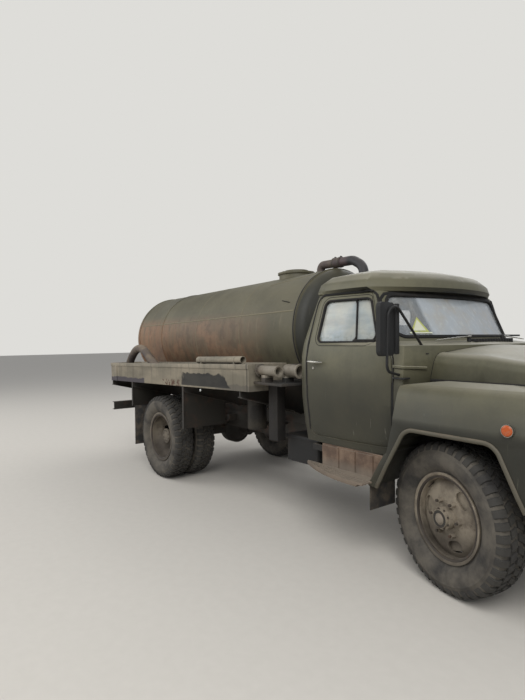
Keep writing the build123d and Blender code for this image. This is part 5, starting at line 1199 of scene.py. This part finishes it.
class TRUCK_OT_lamps(bpy.types.Operator):
    """Lamp rings and lenses, markers, rear lamps and the bare rear plate"""
    bl_idname = "truck.lamps"
    bl_label = "Lamps"

    def execute(self, context):
        rims, lenses, ambers, reds = (bmesh.new() for _ in range(4))
        forward = (1, 0, 0)
        for side in (-1, 1):
            head, marker, flank = (placed(place, side) for place in (HEADLAMP, MARKER, SIDE_MARKER))
            lathe(rims, HEAD_RING, axis_matrix(head, forward), 56)
            lathe(rims, MARKER_RING, axis_matrix(marker, forward), 36)
            disc_lens(lenses, head + Vector((0.001, 0, 0)), forward, radius=0.0885, rise=0.0275)
            disc_lens(ambers, marker, forward, radius=0.0355, rise=0.009)
            disc_lens(ambers, flank, (0, side, 0), radius=0.031, rise=0.009)
            for bm, across in ((reds, RED_SIDE), (ambers, AMBER_SIDE)):
                first, second = zip(REAR_LAMP_X, across, REAR_LAMP_Z)
                side_box(bm, side, first, second, 0.003)
        mesh_piece("lamp_rims", rims, "chrome", "chassis")
        mesh_piece("lamp_lenses", lenses, "clear_lens", "chassis")
        mesh_piece("amber_lenses", ambers, "amber_lens", "chassis")
        mesh_piece("red_lenses", reds, "red_lens", "chassis")
        bm = bmesh.new()
        box_shape(bm, *(placed(corner) for corner in REAR_PLATE), 0.0015)
        mesh_piece("bare_rear_plate", bm, "plate_face", "chassis")
        return {"FINISHED"}


# Places on the tank are ahead of its front ring; angles in degrees start at its right side
WELD_RINGS = (-0.9, -1.83, -3.18)
WELD_LINES = (18.5, 161.5, -40, 220)
HATCH_LINE = ((-0.67, 35.0), (-0.56, 32.5), (-0.44, 30.5), (-0.28, 27.8), (-0.16, 24.5), (-0.08, 20.0))
HATCH_TOP = (-0.65, 0, 0.664)
HATCH_BOLT_RADIUS = 0.184
CRADLES_AHEAD = (-1.94, -2.99, -4.32, -5.01)
REFLECTOR = (-2.63, 1.143, 1.108)


class TRUCK_OT_tank_trim(bpy.types.Operator):
    """Welds, ledges and the black seam of the tank, bolts of its hatch and cradles, side reflectors"""
    bl_idname = "truck.tank_trim"
    bl_label = "Tank trim"

    def execute(self, context):
        self.welds()
        self.marks()
        self.bolts()
        bm = bmesh.new()
        for side in (-1, 1):
            disc_lens(bm, placed(REFLECTOR, side), (0, side, 0), radius=0.014, rise=0.004)
        mesh_piece("side_reflectors", bm, "clear_lens", "chassis")
        return {"FINISHED"}

    def welds(self):
        """Weld beads round and along the shell, and the bent line on each side of the hatch."""
        half = sizes().weld_half
        bm = bmesh.new()
        for along in WELD_RINGS:
            carry(bm, [on_tank(along, angle) for angle in turns(120)], band(half * 0.6, 0.0015), True)
        for angle in WELD_LINES:
            line = [on_tank(-0.03 - 0.1 * k, math.radians(angle)) for k in range(35)]
            carry(bm, line, band(half, 0.003))
        for sign in (-1, 1):
            line = [on_tank(along, math.radians(90 + sign * lean)) for along, lean in HATCH_LINE]
            carry(bm, line, band(0.004, 0.003))
        mesh_piece("tank_seams", bm, "tank_edge", "chassis")

    def marks(self):
        """Short slanted ledge on each shoulder, and the black seam round the front head."""
        bm = bmesh.new()
        for sign in (-1, 1):
            ledge = [on_tank(-0.25 + 0.025 * k, math.radians(90 + sign * (60.5 + 0.55 * k)))
                     for k in range(6)]
            carry(bm, ledge, band(0.0035, 0.008))
        seam = []
        for angle in turns(120):
            _, out = on_tank(0, angle)
            hit = landed(("tank",), tank_place(0, angle, 0.8), -out, 0.3)
            if hit:
                seam.append((hit[0], out))
        carry(bm, seam, band(0.009, 0.0014, 0.012), True)
        mesh_piece("tank_marks", bm, "seal", "chassis")

    def bolts(self):
        """Six bolts on the hatch lid and pairs of bolts on the cradles."""
        bm = bmesh.new()
        up = TANK_TURN @ Vector((0, 0, 1))
        for k in range(6):
            angle = math.pi / 6 + math.pi / 3 * k
            round_hatch = Vector((math.cos(angle), math.sin(angle), 0)) * HATCH_BOLT_RADIUS
            foot = TANK_CENTRE + TANK_TURN @ (Vector(HATCH_TOP) + round_hatch)
            hex_bolt(bm, foot, up, across=0.024, height=0.009)
        mesh_piece("hatch_bolts", bm, "tank_edge", "hatch_lid")
        bm = bmesh.new()
        for side in (-1, 1):
            for place in CRADLES_AHEAD:
                for apart in (-0.018, 0.018):
                    foot = placed((place + apart, 0.5, 0.9), side)
                    hex_bolt(bm, foot, (0, side, 0), across=0.02, height=0.01)
        mesh_piece("cradle_bolts", bm, "iron", "chassis")


STEP_REAR = (-1.245, 0.962)
STEP_CREST = (-0.761, 1.136)
STEP_FRONT = (-0.478, 1.146)
STEP_TOP_Z = 0.629
# How far each ridge lies in from the step's outer edge, and its height
STEP_RIDGES = ((0.006, 0.008), (0.038, 0.005), (0.068, 0.005), (0.098, 0.005))


class TRUCK_OT_steps(bpy.types.Operator):
    """Ridges on the treads"""
    bl_idname = "truck.steps"
    bl_label = "Step ridges"

    def execute(self, context):
        bm = bmesh.new()
        (cx, cy), radius, start, turn = arc_through(STEP_REAR, STEP_CREST, STEP_FRONT)
        for side in (-1, 1):
            for inset, height in STEP_RIDGES:
                hits = []
                for k in range(49):
                    angle = start + turn * k / 48
                    x = cx + (radius - inset) * math.cos(angle)
                    y = cy + (radius - inset) * math.sin(angle)
                    if y > STEP_REAR[1] and x < STEP_FRONT[0] - 0.008:
                        hits.append((placed((x, y, STEP_TOP_Z), side), Vector((0, 0, 1))))
                carry(bm, hits, band(0.006, height))
        mesh_piece("tread_ridges", bm, "step_paint", "chassis")
        return {"FINISHED"}


LOCK_RING = ((0.066, 0.248), (0.07, 0.262), (0.078, 0.266), (0.083, 0.26), (0.08, 0.249))
VALVE = ((0.238, 0.03), (0.226, 0.06), (0.212, 0.085))
VALVE_ANGLE = math.radians(131)
STUD_CIRCLE = 0.1111
HUB_BOLT_CIRCLE = 0.062
HUB_CAP = ((0.124, 0.001), (0.124, 0.034), (0.127, 0.033), (0.133, 0.028), (0.137, 0.019), (0.139, 0.009),
           (0.139, 0.001))
GREASE_RING = ((0.1235, 0.036), (0.1256, 0.036), (0.1256, 0.054), (0.1235, 0.054))


class TRUCK_OT_wheel_trim(bpy.types.Operator):
    """Lock rings, studs, hub bolts and valves, and the caps of the front hubs"""
    bl_idname = "truck.wheel_trim"
    bl_label = "Wheel trim"

    def execute(self, context):
        for joint, body, _, places in WHEELS:
            side = 1 if "left" in joint else -1
            matrix = wheel_matrix(joint) @ Matrix.Scale(side, 4, Vector((0, 1, 0)))
            if places == TWINS:
                self.fittings(body, matrix, rim=TWINS[1], face=0.04, hub_end=0.151)
                continue
            self.fittings(body, matrix, rim=0.0, face=0.085, hub_end=0.106)
            for name, profile, finish, steps in (("_cap", HUB_CAP, "hub_cap", 32),
                                                 ("_grease_ring", GREASE_RING, "chassis_paint", 40)):
                bm = bmesh.new()
                lathe(bm, profile, matrix, steps)
                mesh_piece(body + name, bm, finish, body)
        return {"FINISHED"}

    def fittings(self, body, matrix, rim, face, hub_end):
        """Small parts of one wheel; rim, face and hub_end are places along its axle."""
        bm = bmesh.new()
        axis = matrix.to_3x3() @ Vector((0, 1, 0))
        lathe(bm, [(rim + along, radius) for along, radius in LOCK_RING], matrix, 96)
        for angle in turns(6):
            foot = matrix @ polar(STUD_CIRCLE, angle, face)
            tube_rings(bm, [foot, foot + axis * 0.016], (0.009, 0.009), 12)
        for angle in turns(8):
            foot = matrix @ polar(HUB_BOLT_CIRCLE, angle + math.pi / 8, hub_end)
            hex_bolt(bm, foot, axis, across=0.012, height=0.007, washer=False)
        points = [matrix @ polar(radius, VALVE_ANGLE, rim + along) for radius, along in VALVE]
        tube_rings(bm, points, (0.006, 0.005, 0.005), 10)
        mesh_piece(body + "_fittings", bm, "wheel_steel", body)


class TRUCK_OT_finishes(bpy.types.Operator):
    """Finish on every piece of the frame"""
    bl_idname = "truck.finishes"
    bl_label = "Finishes"

    def execute(self, context):
        slots = {part["node"]: part["material_slot"] for part in frame["record"]["subparts"]}
        for name in frame["nodes"]:
            dress_node(name, NODE_FINISHES.get(name, slots[name]))
        return {"FINISHED"}


# The photograph's view: place, focal length in picture heights and the three turns
CAMERA_AHEAD = 1.8036
CAMERA_SIDE = -3.7186
CAMERA_HEIGHT = 1.6140
PICTURE_HEIGHT = 700
FOCAL_PIXELS = 508.82
VIEW_YAW = 37.185
VIEW_PITCH = 1.2315
VIEW_ROLL = -0.5689
SENSOR_LONG_SIDE = 36.0
# Name, place, power in watts and width of each lamp of the studio
LIGHTS = (("key", (7.5, -7.0, 8.5), 900, 7.0), ("fill", (-8.0, -8.5, 6.5), 520, 8.0),
          ("back", (-3.0, 8.0, 7.5), 420, 8.0))
FLOOR_REACH = 60.0


class TRUCK_OT_stage(bpy.types.Operator):
    """Camera, floor and soft studio light"""
    bl_idname = "truck.stage"
    bl_label = "Stage"

    def execute(self, context):
        scene = context.scene
        self.view(scene)
        scene.view_settings.view_transform = "Standard"
        self.floor(scene)
        self.sky(scene)
        for name, where, power, size in LIGHTS:
            lamp = bpy.data.lights.new(name, "AREA")
            lamp.energy = power
            lamp.size = size
            thing = bpy.data.objects.new(name, lamp)
            scene.collection.objects.link(thing)
            thing.location = where
            thing.rotation_euler = (Vector((0, 0, 1)) - Vector(where)).to_track_quat("-Z", "Y").to_euler()
        return {"FINISHED"}

    def view(self, scene):
        """Camera that sees the truck as the photograph does."""
        data = bpy.data.cameras.new("camera")
        camera = bpy.data.objects.new("camera", data)
        scene.collection.objects.link(camera)
        scene.camera = camera
        data.sensor_fit = "AUTO"
        data.sensor_width = SENSOR_LONG_SIDE
        data.lens = FOCAL_PIXELS / PICTURE_HEIGHT * SENSOR_LONG_SIDE
        data.clip_end = 200
        yaw, pitch, roll = (math.radians(v) for v in (VIEW_YAW, VIEW_PITCH, VIEW_ROLL))
        look = Vector((-math.cos(yaw) * math.cos(pitch), math.sin(yaw) * math.cos(pitch), -math.sin(pitch)))
        right = look.cross(Vector((0, 0, 1))).normalized()
        up = right.cross(look)
        rolled_right = math.cos(roll) * right + math.sin(roll) * up
        rolled_up = -math.sin(roll) * right + math.cos(roll) * up
        turn = Matrix((rolled_right, rolled_up, -look)).transposed()
        place = Vector((ahead(CAMERA_AHEAD), CAMERA_SIDE, CAMERA_HEIGHT))
        camera.matrix_world = Matrix.Translation(place) @ turn.to_4x4()

    def floor(self, scene):
        """Plain pale ground."""
        finish = Finish("floor")
        grain = finish.noise(14, detail=5)
        colour = finish.mix(grain, linear(196, 191, 182), linear(204, 199, 190))
        mesh = bpy.data.meshes.new("floor")
        corners = [(x * FLOOR_REACH, y * FLOOR_REACH, 0) for x, y in ((-1, -1), (1, -1), (1, 1), (-1, 1))]
        mesh.from_pydata(corners, [], [(0, 1, 2, 3)])
        mesh.materials.append(finish.surface(colour, 0.9))
        floor = bpy.data.objects.new("floor", mesh)
        scene.collection.objects.link(floor)

    def sky(self, scene):
        """Soft light all round; the camera sees a paler sky than the one that lights the truck."""
        world = bpy.data.worlds.new("studio")
        scene.world = world
        world.use_nodes = True
        tree = world.node_tree
        shade = tree.nodes["Background"]
        shade.inputs["Color"].default_value = (*linear(222, 225, 230), 1)
        shade.inputs["Strength"].default_value = 0.62
        shown = tree.nodes.new("ShaderNodeBackground")
        shown.inputs["Color"].default_value = (*linear(222, 221, 217), 1)
        shown.inputs["Strength"].default_value = 1.0
        path = tree.nodes.new("ShaderNodeLightPath")
        seen = tree.nodes.new("ShaderNodeMath")
        seen.operation = "MAXIMUM"
        tree.links.new(path.outputs["Is Camera Ray"], seen.inputs[0])
        tree.links.new(path.outputs["Is Transmission Ray"], seen.inputs[1])
        mix = tree.nodes.new("ShaderNodeMixShader")
        tree.links.new(seen.outputs[0], mix.inputs["Fac"])
        tree.links.new(shade.outputs[0], mix.inputs[1])
        tree.links.new(shown.outputs[0], mix.inputs[2])
        tree.links.new(mix.outputs[0], tree.nodes["World Output"].inputs["Surface"])


class TRUCK_PT_panel(bpy.types.Panel):
    """Buttons for each group of pieces"""
    bl_idname = "TRUCK_PT_panel"
    bl_label = "Tank truck"
    bl_space_type = "VIEW_3D"
    bl_region_type = "UI"
    bl_category = "Truck"

    def draw(self, context):
        for operator in OPERATORS:
            self.layout.operator(operator.bl_idname)


OPERATORS = (TRUCK_OT_stage, TRUCK_OT_hoses, TRUCK_OT_finishes, TRUCK_OT_tyres, TRUCK_OT_windows,
             TRUCK_OT_cab_trim, TRUCK_OT_lamps, TRUCK_OT_tank_trim, TRUCK_OT_steps, TRUCK_OT_wheel_trim)
CLASSES = (TruckColours, TruckSizes, *OPERATORS, TRUCK_PT_panel)


def register():
    for item in CLASSES:
        bpy.utils.register_class(item)
    bpy.types.Scene.truck_colours = PointerProperty(type=TruckColours)
    bpy.types.Scene.truck_sizes = PointerProperty(type=TruckSizes)


def unregister():
    del bpy.types.Scene.truck_sizes
    del bpy.types.Scene.truck_colours
    for item in reversed(CLASSES):
        bpy.utils.unregister_class(item)


def main():
    """Dress the whole truck."""
    register()
    for operator in OPERATORS:
        group, name = operator.bl_idname.split(".")
        getattr(getattr(bpy.ops, group), name)()


if __name__ == "__main__":
    main()
